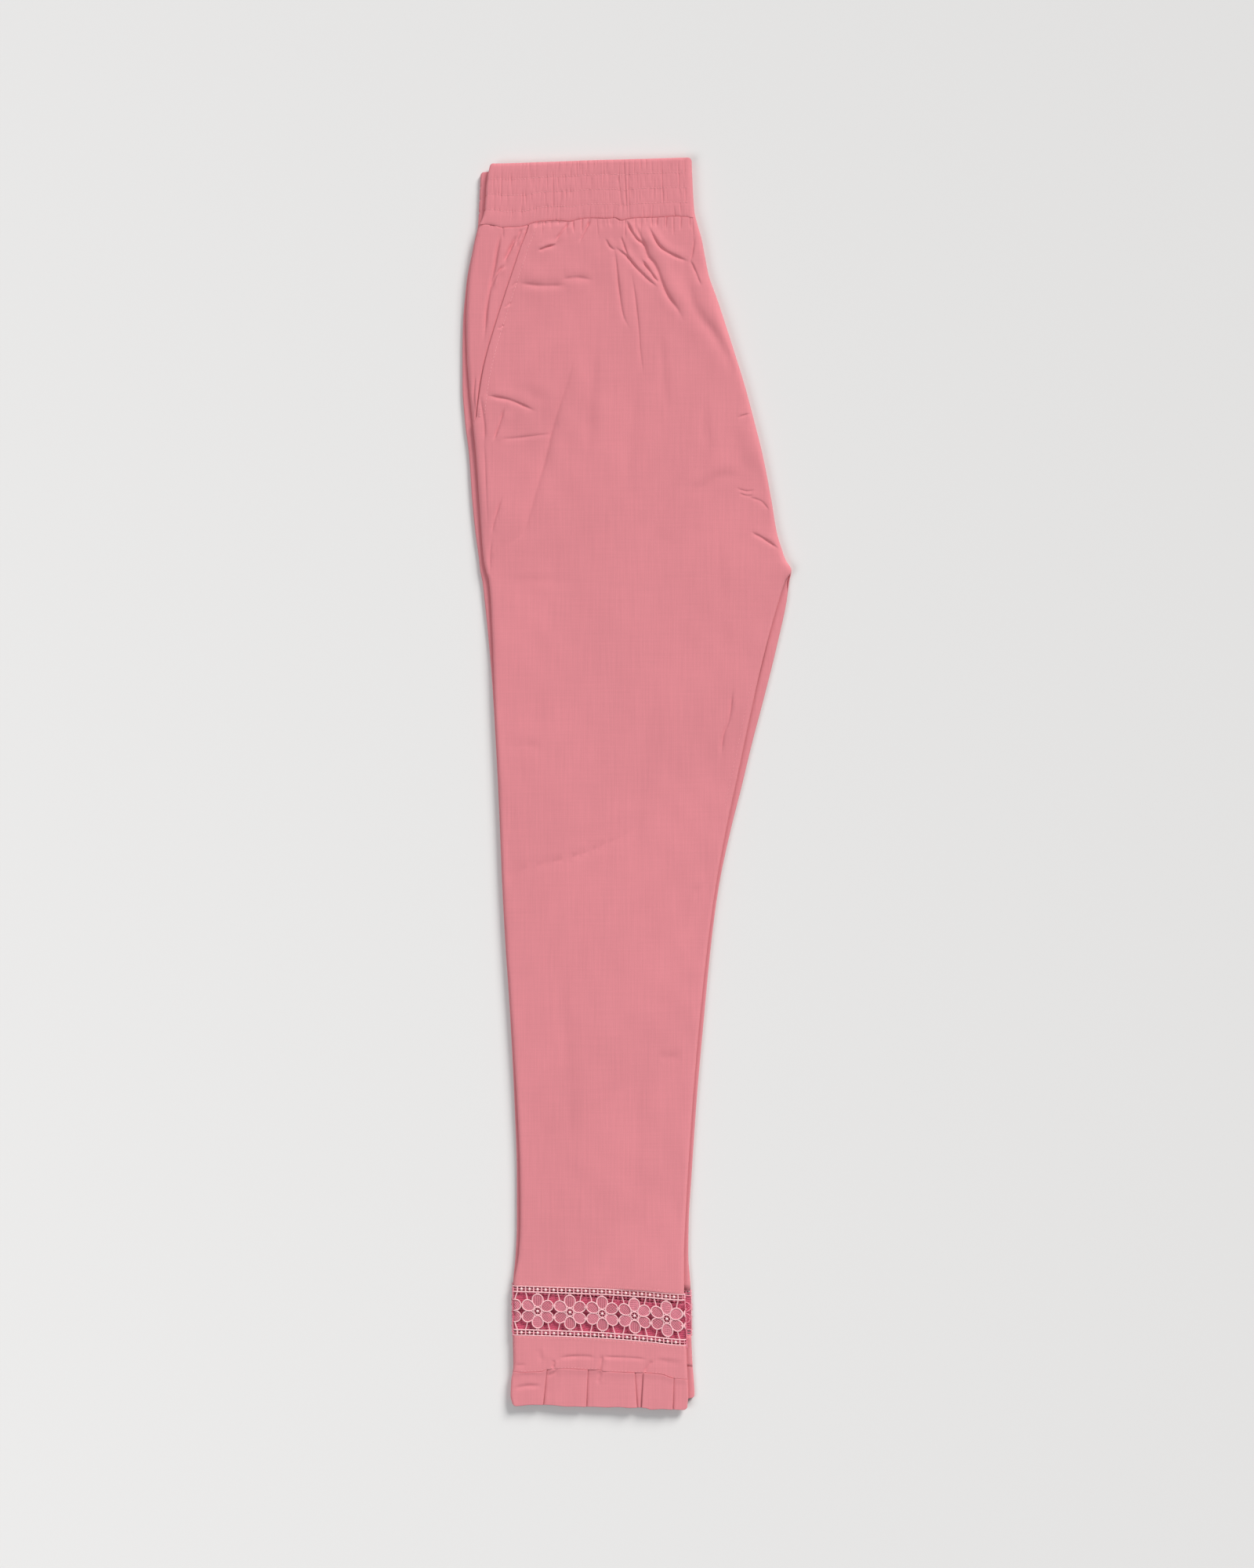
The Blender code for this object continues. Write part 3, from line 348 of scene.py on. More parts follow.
# %% Build the dye and thread groups
def build_dye():
    group, given, result = new_group("Uneven dye", ["Tone"])
    broad = stretched_noise(group, given.outputs["Vector"], (9.0, 6.0, 9.0), 1.0)
    small = stretched_noise(group, given.outputs["Vector"], (55.0, 38.0, 55.0), 3.0)
    group.links.new(blend(group, broad, small, 0.4), result.inputs["Tone"])
    return group


def build_twist():
    group, given, result = new_group("Twisted strands", ["Height", "Tone"])
    for output, frequency in (("Height", 2600.0), ("Tone", 240.0)):
        noise = stretched_noise(group, given.outputs["Vector"], (frequency,) * 3)
        group.links.new(noise, result.inputs[output])
    return group


DYE = build_dye()
TWIST = build_twist()
print("shader groups:", [group.name for group in bpy.data.node_groups])


# %% [markdown]
# The finishes
#
# Cotton scatters light: it is rough, with a soft sheen from its loose fibres. The lace is worked
# in a slightly lighter thread with a little gloss; its beads are lighter still, a painted
# highlight.
# Constants such as the sheen are set on the shader itself, and only what changes over the surface
# comes from the groups. The same lace seen through another gets two darker copies of its threads:
# that darkness is painted shade, because no light gets past the layer above it.

# %% Make the materials
Yarn = namedtuple("Yarn", "woven sheen gloss ramp shades roughness bump bump_strength")
WOVEN = Yarn(True, 0.12, 0.22, (0.36, 0.64), (0.945, 1.055), 0.72, 0.00012, 0.55)
TWISTED = Yarn(False, 0.2, 0.4, (0.3, 0.7), (0.93, 1.05), 0.4, 0.00008, 0.5)


def group_node(tree, group, vector):
    node = tree.nodes.new("ShaderNodeGroup")
    node.node_tree = group
    tree.links.new(vector, node.inputs["Vector"])
    return node.outputs


def fabric(name, colour, yarn):
    """A cotton cloth or thread. The tone of its dye also varies its roughness a little."""
    made = bpy.data.materials.new(name)
    made.use_nodes = True
    tree = made.node_tree
    shader = tree.nodes["Principled BSDF"]
    shader.inputs["Sheen Weight"].default_value = yarn.sheen
    shader.inputs["Sheen Roughness"].default_value = 0.5
    shader.inputs["Specular IOR Level"].default_value = yarn.gloss
    place = tree.nodes.new("ShaderNodeTexCoord").outputs["Object"]
    if yarn.woven:
        surface = group_node(tree, WEAVE, place)
        dye = group_node(tree, DYE, place)["Tone"]
        tone = blend(tree, surface["Streaks"], dye, 0.45)
    else:
        surface = group_node(tree, TWIST, place)
        dye = tone = surface["Tone"]
    ramp = tree.nodes.new("ShaderNodeValToRGB")
    for element, position, shade in zip(ramp.color_ramp.elements, yarn.ramp, yarn.shades):
        element.position = position
        element.color = (*(channel * shade for channel in colour), 1.0)
    tree.links.new(tone, ramp.inputs[0])
    tree.links.new(ramp.outputs[0], shader.inputs["Base Color"])
    rough = maths(tree, "ADD", maths(tree, "MULTIPLY", dye, 0.2), yarn.roughness)
    tree.links.new(rough, shader.inputs["Roughness"])
    bump = tree.nodes.new("ShaderNodeBump")
    bump.inputs["Distance"].default_value = yarn.bump
    bump.inputs["Strength"].default_value = yarn.bump_strength
    tree.links.new(surface["Height"], bump.inputs["Height"])
    tree.links.new(bump.outputs["Normal"], shader.inputs["Normal"])
    return made


COTTON = fabric("pink_slubbed_cotton", (0.755, 0.256, 0.288), WOVEN)
FACING_COTTON = fabric("pink_facing_cotton", (0.745, 0.250, 0.282), WOVEN)
LACE_CORD = fabric("pink_lace_cord", (0.95, 0.54, 0.57), TWISTED)
LACE_FILL = fabric("pink_lace_filling", (0.79, 0.27, 0.34), TWISTED._replace(roughness=0.45))
# painted highlight: the bead is lighter than the cord to stand for its glint; its lower roughness
# is real gloss
BEAD_WITH_PAINTED_HIGHLIGHT = fabric("pink_lace_bead_painted_highlight", (0.98, 0.68, 0.68), TWISTED._replace(roughness=0.3))
# painted shade: darker copies of the lace threads, for laces seen only through another lace
SHADE_PAINTED_CORD = fabric("pink_lace_cord_in_shade", (0.86, 0.27, 0.36),
                    TWISTED._replace(sheen=0.1, roughness=0.55))
SHADE_PAINTED_FILL = fabric("pink_lace_filling_in_shade", (0.76, 0.13, 0.23),
                    TWISTED._replace(sheen=0.1, roughness=0.6))
SEWING = fabric("pink_sewing_thread", (0.88, 0.38, 0.41), TWISTED)
print("materials:", [material.name for material in bpy.data.materials if material.users])


# %% [markdown]
# How a cloth is laid
#
# A sheet of cloth starts as a flat grid. Each of its points is then moved to where that part of
# the cloth lies, and a Solidify modifier gives it a wall on its inner side. Where a cloth has
# creases, the faces of the flat grid near them are halved first.

# %% The cloth maker
def add_object(name, data):
    """An object that holds a mesh, light or camera, linked to the scene."""
    made = bpy.data.objects.new(name, data)
    bpy.context.scene.collection.objects.link(made)
    return made


def finish_piece(name, builder, material, thickness=0.0, offset=-1.0):
    """Turns a bmesh in millimetres into a piece of the garment, in metres."""
    bmesh.ops.scale(builder, vec=(MM, MM, MM), verts=builder.verts)
    mesh = bpy.data.meshes.new(name)
    builder.to_mesh(mesh)
    builder.free()
    mesh.shade_smooth()
    mesh.materials.append(material)
    piece = add_object(name, mesh)
    if thickness:
        wall = piece.modifiers.new("wall", "SOLIDIFY")
        wall.thickness = thickness * MM
        wall.offset = offset
    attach(piece, "root")
    return piece


def refine(builder, place, is_near):
    """Halves the faces of the flat grid that will lie near a crease."""
    builder.verts.index_update()
    flat = np.array([vertex.co for vertex in builder.verts])
    x, down, _ = place(flat[:, 0], -flat[:, 1])
    near = is_near(x, down)
    edges = [edge for edge in builder.edges
             if near[edge.verts[0].index] and near[edge.verts[1].index]]
    bmesh.ops.subdivide_edges(builder, edges=edges, cuts=1, use_grid_fill=True)


def lay_cloth(name, place, columns, rows, material=COTTON,
              thickness=CLOTH, offset=-1.0, faces_down=False, ring=False, finer=()):
    """A cloth whose points go where place(u, v) says.

    columns and rows are the values of u and v, from 0 to 1 across and down the cloth."""
    builder = bmesh.new()
    bmesh.ops.create_grid(builder, x_segments=len(columns) - 1, y_segments=len(rows) - 1,
                          size=0.5)
    for vertex in builder.verts:
        column = round((vertex.co.x + 0.5) * (len(columns) - 1))
        row = round((0.5 - vertex.co.y) * (len(rows) - 1))
        vertex.co = (columns[column], -rows[row], 0.0)
    for is_near in finer:
        refine(builder, place, is_near)
    flat = np.array([vertex.co for vertex in builder.verts])
    x, down, z = place(flat[:, 0], -flat[:, 1])
    for vertex, spot in zip(builder.verts, np.stack([x, LENGTH / 2 - down, z], axis=1)):
        vertex.co = spot
    if ring:
        bmesh.ops.remove_doubles(builder, verts=builder.verts, dist=0.001)
    if faces_down:
        bmesh.ops.reverse_faces(builder, faces=builder.faces)
    print(name, "has", len(builder.faces), "faces")
    return finish_piece(name, builder, material, thickness, offset)


# %% [markdown]
# At its edges a layer turns down in a quarter of an ellipse, to meet the layer that it is sewn
# to. A curl says how far in from the edge that starts and how deep it goes. Along its two seams
# the layer dips into a narrow groove.

# %% A layer between two seams
CURL_SHARE = 0.045
SEAM_REACH, SEAM_DEPTH = 3.0, CLOTH_ROOM + 0.2
SEAM_CURL = (SEAM_REACH, SEAM_DEPTH)
SEAM_DIP, SEAM_DIP_WIDTH = 0.1, 0.8


def curled(u, left, right, left_curl, right_curl):
    """x and drop of a layer's columns: u runs from 0 at its left edge to 1 at its right edge."""
    left_reach, left_depth = left_curl
    right_reach, right_depth = right_curl
    flat = np.clip((u - CURL_SHARE) / (1 - 2 * CURL_SHARE), 0.0, 1.0)
    x = mix(left + left_reach, right - right_reach, flat)
    angle = np.clip(np.minimum(u, 1 - u) / CURL_SHARE, 0.0, 1.0) * QUARTER
    at_left, at_right = u < CURL_SHARE, u > 1 - CURL_SHARE
    x = np.where(at_left, left + left_reach * (1 - np.cos(angle)), x)
    x = np.where(at_right, right - right_reach * (1 - np.cos(angle)), x)
    drop = np.where(at_left, left_depth, np.where(at_right, right_depth, 0.0))
    return x, drop * (1 - np.sin(angle))


def lay_between(top_seam, foot_seam, shares, u, leg, left_of=None, right_of=None,
                left_curl_of=None, right_curl_of=None):
    """Places a layer between two seams. Returns x, down, drop, across and its two edges.

    Each edge is the leg's own, or the line that a function of down says."""
    down_at = rows_between(top_seam, foot_seam, shares)
    whole_left = leg_left(leg, down_at(0.0))
    whole_right = leg_right(leg, down_at(1.0))

    def settled(edge_of, across):
        # An edge inside the leg lies where its own line meets the leaning row
        across = np.full_like(shares, across)
        for _ in range(4):
            down = down_at(across)
            edge = edge_of(down)
            across = (edge - whole_left) / (whole_right - whole_left)
        return edge, down

    left, left_down = settled(left_of or (lambda down: leg_left(leg, down)), 0.0)
    right, right_down = settled(right_of or (lambda down: leg_right(leg, down)), 1.0)
    x, drop = curled(u, left, right, left_curl_of(left_down) if left_curl_of else SEAM_CURL,
                     right_curl_of(right_down) if right_curl_of else SEAM_CURL)
    across = share_of(x, whole_left, whole_right)
    down = down_at(across)
    from_seams = np.minimum(down - seam_down(top_seam, across),
                            seam_down(foot_seam, across) - down)
    return x, down, drop + hump(from_seams, SEAM_DIP, SEAM_DIP_WIDTH), across, left, right


def fade_in(x, left, right, reach):
    """1 over most of a layer, fading to 0 at its left and right edges."""
    return ease(0.0, reach, x - left) * ease(0.0, reach, right - x)


print("a seam's edge turns down over", SEAM_REACH, "mm")


# %% [markdown]
# Creases
#
# The main creases were placed one by one from the photograph. Each is a narrow valley, because
# folded cotton pinches along a line and stands up beside it in two soft shoulders. The shoulder
# on the side that faces the light is gentle and low, and the other one is steep: that gives one
# dark edge, as in the photograph. For a line that runs down the garment, "left" is the shoulder
# on the photo's left; for one that runs to the right, it is the shoulder below it. Sizes are
# half-widths and heights.

# %% The crease table
Crease = namedtuple("Crease", "groove depth left right rise points")


def crease_table(*rows):
    """Creases from rows: groove, depth, left, right, rise, then the points of the line."""
    return [Crease(*row[:5], np.array(row[5:], float)) for row in rows]


FRONT_CREASES = crease_table(
    # The deepest folds on the garment run down from the waist seam towards the right
    (0.68, 1.7, 3, 2, 0.72, (-0.3, 49), (4.5, 59), (9.4, 64.7), (14.6, 68)),
    (1, 1.6, 3.6, 5.5, 1.3, (6, 51), (10.3, 61), (14.2, 68.5), (16.1, 76.3), (21.9, 82),
     (26.8, 95.7), (31.6, 107), (39.4, 117), (43.5, 126)),
    (0.68, 1.56, 2, 2, 0.48, (11.5, 79), (18, 88), (24.5, 97)),
    (0.68, 1.56, 3, 2, 0.6, (-9, 69.5), (0.6, 76.3), (6.4, 84), (14.2, 92), (23, 100)),
    (0.61, 1.17, 2, 2, 0.36, (-4.6, 61), (-1.3, 70.5), (1.4, 78)),
    (0.61, 1.04, 2, 2, 0.36, (-16.4, 63), (-12.9, 69.5), (-9, 71.5)),
    (0.68, 1.17, 4, 3, 0.42, (-9.6, 71), (-8.1, 82), (-6.7, 96), (-5.2, 109), (-3, 123),
     (1.5, 131)),
    (0.61, 0.8, 4, 3, 0.3, (3.6, 89), (6.1, 105), (8, 121), (9.3, 134), (10.3, 150), (12.6, 168)),
    (0.81, 1.7, 2.5, 3, 0.84, (16.5, 53), (21.9, 64), (26.8, 70.5), (35.5, 75.3), (47, 80.2)),
    (2, 0.8, 8, 9, 1.8, (46, 88), (48.1, 103), (50, 111), (56.8, 123), (66.5, 134), (78.1, 154),
     (86, 170)),
    (0.68, 0.91, 2, 2, 0.36, (48.5, 78.5), (53, 88), (57, 99)),
    (0.61, 1.04, 1.6, 2.4, 0.48, (52, 62), (51.2, 70), (48.8, 81)),
    (1, 0.7, 2, 4, 0.2, (-76, 51.8), (-63.3, 50.6), (-54.6, 50), (-42.5, 50.6)),
    (0.61, 1.17, 2, 2, 0.48, (-44.3, 50), (-49.7, 57), (-55.5, 65)),
    (0.68, 1.69, 2, 2, 0.6, (-68, 71.8), (-61.4, 69), (-54, 67)),
    (0.61, 1.17, 2, 2, 0.42, (-27.5, 47.5), (-32.3, 57), (-36.8, 65.5)),
    (1.2, 0.9, 4, 7, 0.8, (-84, 96.8), (-71, 98.6), (-59.4, 99), (-47, 98.4)),
    (1.2, 0.8, 4, 6, 0.6, (-49, 93.8), (-38, 92.2), (-26, 94.5)),
    (0.68, 1.6, 1.5, 1.5, 0.5, (-81, 66), (-86.1, 79), (-88.6, 90)),
    (0.68, 0.65, 1.5, 1.5, 0.24, (-85.5, 96), (-88, 99), (-91, 101)),
    (0.68, 0.65, 1.5, 1.5, 0.24, (-89, 112), (-92, 114), (-95, 116)),
    (0.68, 0.65, 1.5, 1.5, 0.24, (-94.5, 129), (-97, 131), (-100, 132)),
    # Under the pocket and down the thigh
    (0.74, 1.3, 3, 4, 0.5, (-107.5, 183.5), (-97, 185), (-89, 187), (-80.7, 190.5),
     (-70.5, 195.5)),
    (3.5, 0.62, 5, 6, 0.25, (-80, 178), (-70, 184), (-60, 186)),
    (1.2, 1, 8, 6, 0.9, (-41, 152), (-44.1, 168), (-47.2, 178), (-51.2, 188), (-55.3, 202),
     (-59.4, 216.5), (-62.4, 231), (-66.5, 245), (-70.6, 259), (-74.6, 273.5), (-78.7, 288),
     (-84, 293.5), (-93, 299)),
    (0.81, 1.3, 3, 3, 0.36, (-114, 180), (-111.2, 196), (-109.2, 208.4), (-110.4, 221)),
    (0.61, 0.65, 2, 2, 0.24, (-110.4, 216), (-109, 240), (-108.6, 262), (-107, 286)),
    (0.68, 1.43, 2, 3, 0.48, (-94.5, 193), (-99, 208), (-103.5, 219.5)),
    (0.81, 0.65, 3, 3, 0.15, (-98, 217), (-84.8, 216), (-72.6, 214.5), (-57, 212.5)),
    (0.61, 1.04, 3, 3, 0.42, (-96.5, 262), (-101, 275.5), (-104.6, 290)),
    (0.68, 0.65, 3, 2, 0.36, (-104, 292), (-105.6, 305), (-106, 330)),
    (3, 0.8, 6, 6, 0.45, (60.6, 180), (59.6, 208), (62.7, 221), (59.6, 235), (49, 251)),
    (3.8, 0.7, 9, 9, 0.6, (41, 247), (29.1, 269.4), (17, 287)),
    (3, 0.6, 5, 7, 0.35, (51, 259), (67.8, 246), (77.9, 244), (91, 247)),
    (0.61, 0.6, 2, 2, 0.15, (84.5, 254.6), (92, 257.4), (98.5, 256)),
    (0.61, 0.5, 2, 2, 0.15, (86.5, 258.6), (93, 261), (97, 260)),
    (0.68, 1.3, 3, 3, 0.45, (96, 288.6), (106.4, 293.8), (118.5, 302.5)),
    (0.61, 0.6, 3, 3, 0.25, (95, 262), (104, 264), (110.5, 273)),
    (0.61, 0.65, 2, 2, 0.24, (85, 200.5), (91, 198), (97, 197)),
    (2.4, 0.56, 5, 5, 0.25, (72, 286), (73, 312), (74.9, 350), (79, 395)),
    (0.8, 1.2, 3, 3, 0.4, (81.5, 410), (79, 434), (74, 444), (72.6, 463)),
    (2.2, 0.9, 4, 6, 0.5, (26.5, 136), (28.5, 166), (30.5, 198)),
    (4, 0.9, 9, 7, 0.7, (-24, 150), (-28, 190), (-30, 236)),
    (5, 0.75, 9, 9, 0.38, (6, 170), (3, 215), (-2, 262)),
    (5, 0.62, 9, 9, 0.38, (82, 206), (88, 228), (96, 246)),
    (2, 0.3, 6, 5, 0.12, (-92, 325.5), (-70, 324.6), (-36, 325.5)),
    # Faint ones down the leg
    (1.2, 0.7, 3, 6, 0.2, (-92, 552.5), (-75.7, 546.3), (-62, 543.5), (-36, 537), (-12, 527),
     (12, 515)),
    (1.4, 0.7, 3, 6, 0.3, (-94, 452.5), (-80, 451.5), (-60, 453)),
    (1.4, 0.8, 3, 3, 0.3, (50, 565), (61, 563.5), (70, 565)),
    (1, 0.6, 2, 4, 0.3, (24, 692.4), (34, 692), (43, 693.2)),
    (2, 0.31, 3, 3, 0.12, (-70, 780), (-52, 781), (-33, 780)),
    (4, 0.3, 9, 9, 0.25, (-60, 530), (-20, 521), (30, 505)),
    (6, 0.62, 14, 12, 0.38, (24, 380), (12, 470), (4, 560)),
    (6, 0.5, 12, 9, 0.31, (-52, 610), (-46, 700), (-42, 790)),
    (6, 0.5, 10, 12, 0.31, (14, 640), (8, 740), (4, 830)),
)
print(len(FRONT_CREASES), "creases on the front")


# %% [markdown]
# For every point of a cloth the script finds the nearest place on the crease's line, how far
# along it that is, and on which side the point lies. The fold dies away towards both ends.

# %% Reading the creases
GENTLE_SIDE, LOW_SIDE, GROOVE_SHARE = 2.2, 0.4, 0.7


def from_line(points, x, down):
    """Distance to a line of points, the side, and the share of the line at the nearest place."""
    runs = np.diff(points, axis=0)
    lengths = np.hypot(runs[:, 0], runs[:, 1])
    starts = np.concatenate([[0.0], np.cumsum(lengths)])
    nearest, side, share = np.full(x.shape, 1e9), np.zeros(x.shape), np.zeros(x.shape)
    for k, (run_x, run_down) in enumerate(runs):
        from_x, from_down = x - points[k, 0], down - points[k, 1]
        t = np.clip((from_x * run_x + from_down * run_down) / lengths[k] ** 2, 0.0, 1.0)
        away = np.hypot(from_x - run_x * t, from_down - run_down * t)
        closer = away < nearest
        nearest = np.where(closer, away, nearest)
        side = np.where(closer, run_x * from_down - run_down * from_x, side)
        share = np.where(closer, (starts[k] + t * lengths[k]) / starts[-1], share)
    return nearest, side, share


def close_to(points, x, down, reach):
    """True for the points inside the line's box, grown by reach."""
    low, high = points.min(axis=0) - reach, points.max(axis=0) + reach
    return (x > low[0]) & (x < high[0]) & (down > low[1]) & (down < high[1])


def rounded(points):
    """Cuts the corners of a line of points twice, which makes a soft curve of it."""
    for _ in range(2):
        before, after = points[:-1], points[1:]
        cut = np.stack([0.75 * before + 0.25 * after, 0.25 * before + 0.75 * after], axis=1)
        points = np.concatenate([points[:1], cut.reshape(-1, 2)[1:-1], points[-1:]])
    return points


def crease_height(table, x, down):
    """Height that the creases add at each point."""
    total = np.zeros_like(x)
    for crease in table:
        points = rounded(crease.points)
        inside = close_to(points, x, down, 3.5 * max(crease.left, crease.right, crease.groove))
        if not inside.any():
            continue
        away, side, share = from_line(points, x[inside], down[inside])
        on_left = side > 0
        out = away / np.where(on_left, crease.left, crease.right)
        groove = np.where(on_left, GENTLE_SIDE * crease.groove, crease.groove)
        rise = np.where(on_left, LOW_SIDE * crease.rise, crease.rise)
        taper = ease(-0.04, 0.22, share) * (1 - ease(0.72, 1.04, share))
        taper *= 0.85 + 0.15 * np.sin(11 * share + points[0, 0])
        total[inside] += taper * (rise * out * np.exp(0.5 - 0.5 * out ** 2)
                                  - hump(away, GROOVE_SHARE * crease.depth, groove))
    return total


def near_creases(table, x, down, reach, widest=1.5):
    """True near the narrow creases, where the cloth needs more points."""
    near = np.zeros(x.shape, bool)
    for crease in table:
        if crease.groove <= widest:
            inside = close_to(crease.points, x, down, reach)
            away, _, _ = from_line(crease.points, x[inside], down[inside])
            near[inside] |= away < reach
    return near


deepest = max(FRONT_CREASES, key=lambda crease: crease.depth)
print("the deepest crease is", deepest.depth, "mm, at x", deepest.points[0, 0])


# %% [markdown]
# The elastic pulls the cloth into many fine gathers. They are narrow valleys of uneven spacing,
# length and depth, so they are drawn from a random generator with a fixed seed, which gives the
# same garment on every run. Slow waves keep the flat leg from looking ironed.

# %% Gathers and slow waves
Valley = namedtuple("Valley", "x top foot lean depth width")


def scatter_valleys(seed, left, right, spacing, tops, lengths, depths, width):
    """Valleys across the cloth, each running down from a random start."""
    chance = np.random.default_rng(seed)
    valleys = []
    x = left
    while x < right:
        x += spacing * (0.35 + 1.3 * chance.random())
        top = mix(*tops, chance.random())
        length = mix(*lengths, chance.random() ** 2)
        depth = mix(*depths, chance.random() ** 1.5)
        lean = 0.16 * (chance.random() - 0.5)
        valleys.append(Valley(x, top, top + length, lean, depth,
                              width * (0.75 + 0.5 * chance.random())))
    return valleys


def valley_height(valleys, x, down):
    total = np.zeros_like(x)
    for valley in valleys:
        share = (down - valley.top) / (valley.foot - valley.top)
        centre = valley.x + valley.lean * (down - valley.top)
        strength = ease(-0.12, 0.15, share) * (1 - ease(0.55, 1.0, share))
        total -= strength * hump(x - centre, valley.depth, valley.width)
    return total


SEAM_GATHERS = (scatter_valleys(5, -112, 50, 5.2, (44, 46), (7, 26), (0.3, 1.1), 0.55)
                + scatter_valleys(8, -112, 50, 11.0, (44, 46), (10, 20), (0.2, 0.6), 1.6))


def slow_waves(x, down):
    across = 0.32 * np.sin(x / 13 + 0.9 * np.sin(down / 90)) * np.sin(down / 75 + 1.0)
    lengthwise = 0.5 * np.sin(down / 17 + 0.9 * np.sin(x / 31) + 0.02 * x)
    mottled = 0.24 * np.sin(x / 6.5 + 1.4 * np.sin(down / 23)) * np.sin(down / 8 + np.sin(x / 17))
    return across + (lengthwise + mottled) * (0.6 + 0.4 * np.sin(x / 33 + down / 140 + 2.0))


print(len(SEAM_GATHERS), "gathers below the waist seam")


# %% [markdown]
# The right front
#
# This is the piece that fills the picture. Its left edge is the pocket mouth as far as the foot
# of the pocket and the side seam below it. Its right edge is the front fold above the crotch
# and the inseam below. The base grid is coarse, and only the faces near a crease are halved,
# once or more, which keeps the mesh small and the creases crisp.

# %% The fronts' edges
TOPSTITCH_OFFSET = 6.2
MOUTH_CURL = (0.9, 1.1)
FOLD_REACH = 4.5


def mouth_x(down, leg="over"):
    """The pocket mouth's edge. The under leg's lies as far from its own side."""
    return read(POCKET_MOUTH, 1, down) + leg_left(leg, down) - leg_left("over", down)


def front_left_edge(leg):
    return lambda down: mix(mouth_x(down, leg), leg_left(leg, down),
                            ease(POCKET_FOOT, POCKET_FOOT + 4.0, down))


def front_left_curl(down):
    below = ease(POCKET_FOOT, POCKET_FOOT + 4.0, down)
    return [mix(mouth, seam, below) for mouth, seam in zip(MOUTH_CURL, SEAM_CURL)]


def crotch_curl(down):
    """Above the crotch the cloth turns round the front fold; below it, round the inseam."""
    closed = 1 - ease(CROTCH_DOWN - 8, CROTCH_DOWN + 5, down)
    fold_curl = (FOLD_REACH, read(STACK, 1, down) / 2 - GAP / 2)
    return [mix(seam, fold, closed) for seam, fold in zip(SEAM_CURL, fold_curl)]


def front_lift(x, down, left, right):
    """What creases and waves add to the right front, fading out where the cloth turns down."""
    lift = crease_height(FRONT_CREASES, x, down) + slow_waves(x, down)
    from_mouth = x - mouth_x(down)
    stitched = 1 - ease(POCKET_FOOT - 10, POCKET_FOOT, down)
    pucker = 0.6 + 0.4 * np.sin(down / 1.9 + 0.5 * np.sin(down / 7))
    lift -= stitched * pucker * hump(from_mouth - TOPSTITCH_OFFSET, 0.3, 0.9)
    lift += stitched * hump(from_mouth - TOPSTITCH_OFFSET / 2, 0.15, 2.0)
    return (lift * fade_in(x, left, right, 6.0)
            + valley_height(SEAM_GATHERS, x, down) * fade_in(x, left, right, 2.0))


mouth_width = mouth_x(WAIST_SEAM.side) - leg_left("over", WAIST_SEAM.side)
print("the pocket mouth starts", round(float(mouth_width)), "mm in from the side seam")


# %% Lay the right front
FRONT_LENGTH = OVER_LACE_TOP.middle - WAIST_SEAM.middle


def finer_near(table, reach, widest=1.5, above=0.0, shift=(0.0, 0.0)):
    """A test for refine: near the narrow creases, and above a place on the garment."""
    return lambda x, down: (near_creases(table, x + shift[0], down + shift[1], reach, widest)
                            | (down < above))


def near_topstitching(x, down):
    return (np.abs(x - mouth_x(down) - TOPSTITCH_OFFSET) < 2.5) & (down < POCKET_FOOT)


def place_right_front(u, v):
    x, down, drop, across, left, right = lay_between(
        WAIST_LINE, OVER_LACE_TOP, v, u, "over",
        front_left_edge("over"), None, front_left_curl, crotch_curl)
    return x, down, stack_top(down, across) - drop + front_lift(x, down, left, right)


front_rows = np.concatenate([[0.0, 0.6, 1.4], np.arange(3.0, 280.0, 2.6),
                             np.arange(282.0, FRONT_LENGTH - 3.0, 5.5),
                             [FRONT_LENGTH - 1.4, FRONT_LENGTH - 0.6, FRONT_LENGTH]])
front_columns = np.concatenate([np.linspace(0.0, CURL_SHARE, 5),
                                np.linspace(CURL_SHARE, 1 - CURL_SHARE, 66)[1:-1],
                                np.linspace(1 - CURL_SHARE, 1.0, 6)])
near_widest = finer_near(FRONT_CREASES, 4.4, 1.7, above=69)
right_front = lay_cloth(
    "right_front_cloth", place_right_front, front_columns, front_rows / FRONT_LENGTH,
    finer=[lambda x, down: near_widest(x, down) | near_topstitching(x, down),
           finer_near(FRONT_CREASES, 2.2, 1.3, above=60), finer_near(FRONT_CREASES, 1.2, 0.9)])
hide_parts("front_right")


# %% [markdown]
# The pocket facings
#
# Behind each slanted pocket mouth lies a facing, sewn into the side seam. It sits a cloth's
# thickness lower than the front and runs on under the mouth's folded edge.

# %% Lay both pocket facings
FACING_CREASES = crease_table(
    (0.78, 1.9, 2, 3, 0.7, (-95.6, 52), (-98.4, 65), (-100.4, 75), (-101.8, 85), (-104.4, 95),
     (-107.8, 115), (-108.8, 128), (-110.4, 142)),
    (0.93, 2.8, 2, 1.6, 1.1, (-85, 60), (-88.8, 69), (-94.6, 80.5)),
    (0.78, 1.7, 1.6, 1.6, 0.7, (-94.4, 83), (-100.8, 90), (-104.6, 101.5)),
    (0.78, 1.5, 1.6, 1.6, 0.7, (-81, 55), (-84, 62), (-86, 68)),
    (0.78, 1.05, 1.4, 1.4, 0.54, (-117, 168), (-118.2, 184), (-117, 198)),
)
FACING_UNDERLAP = 1.4
FACING_CURL = (0.3, 0.2)
FACING_FOOT = POCKET_FOOT + 6.0


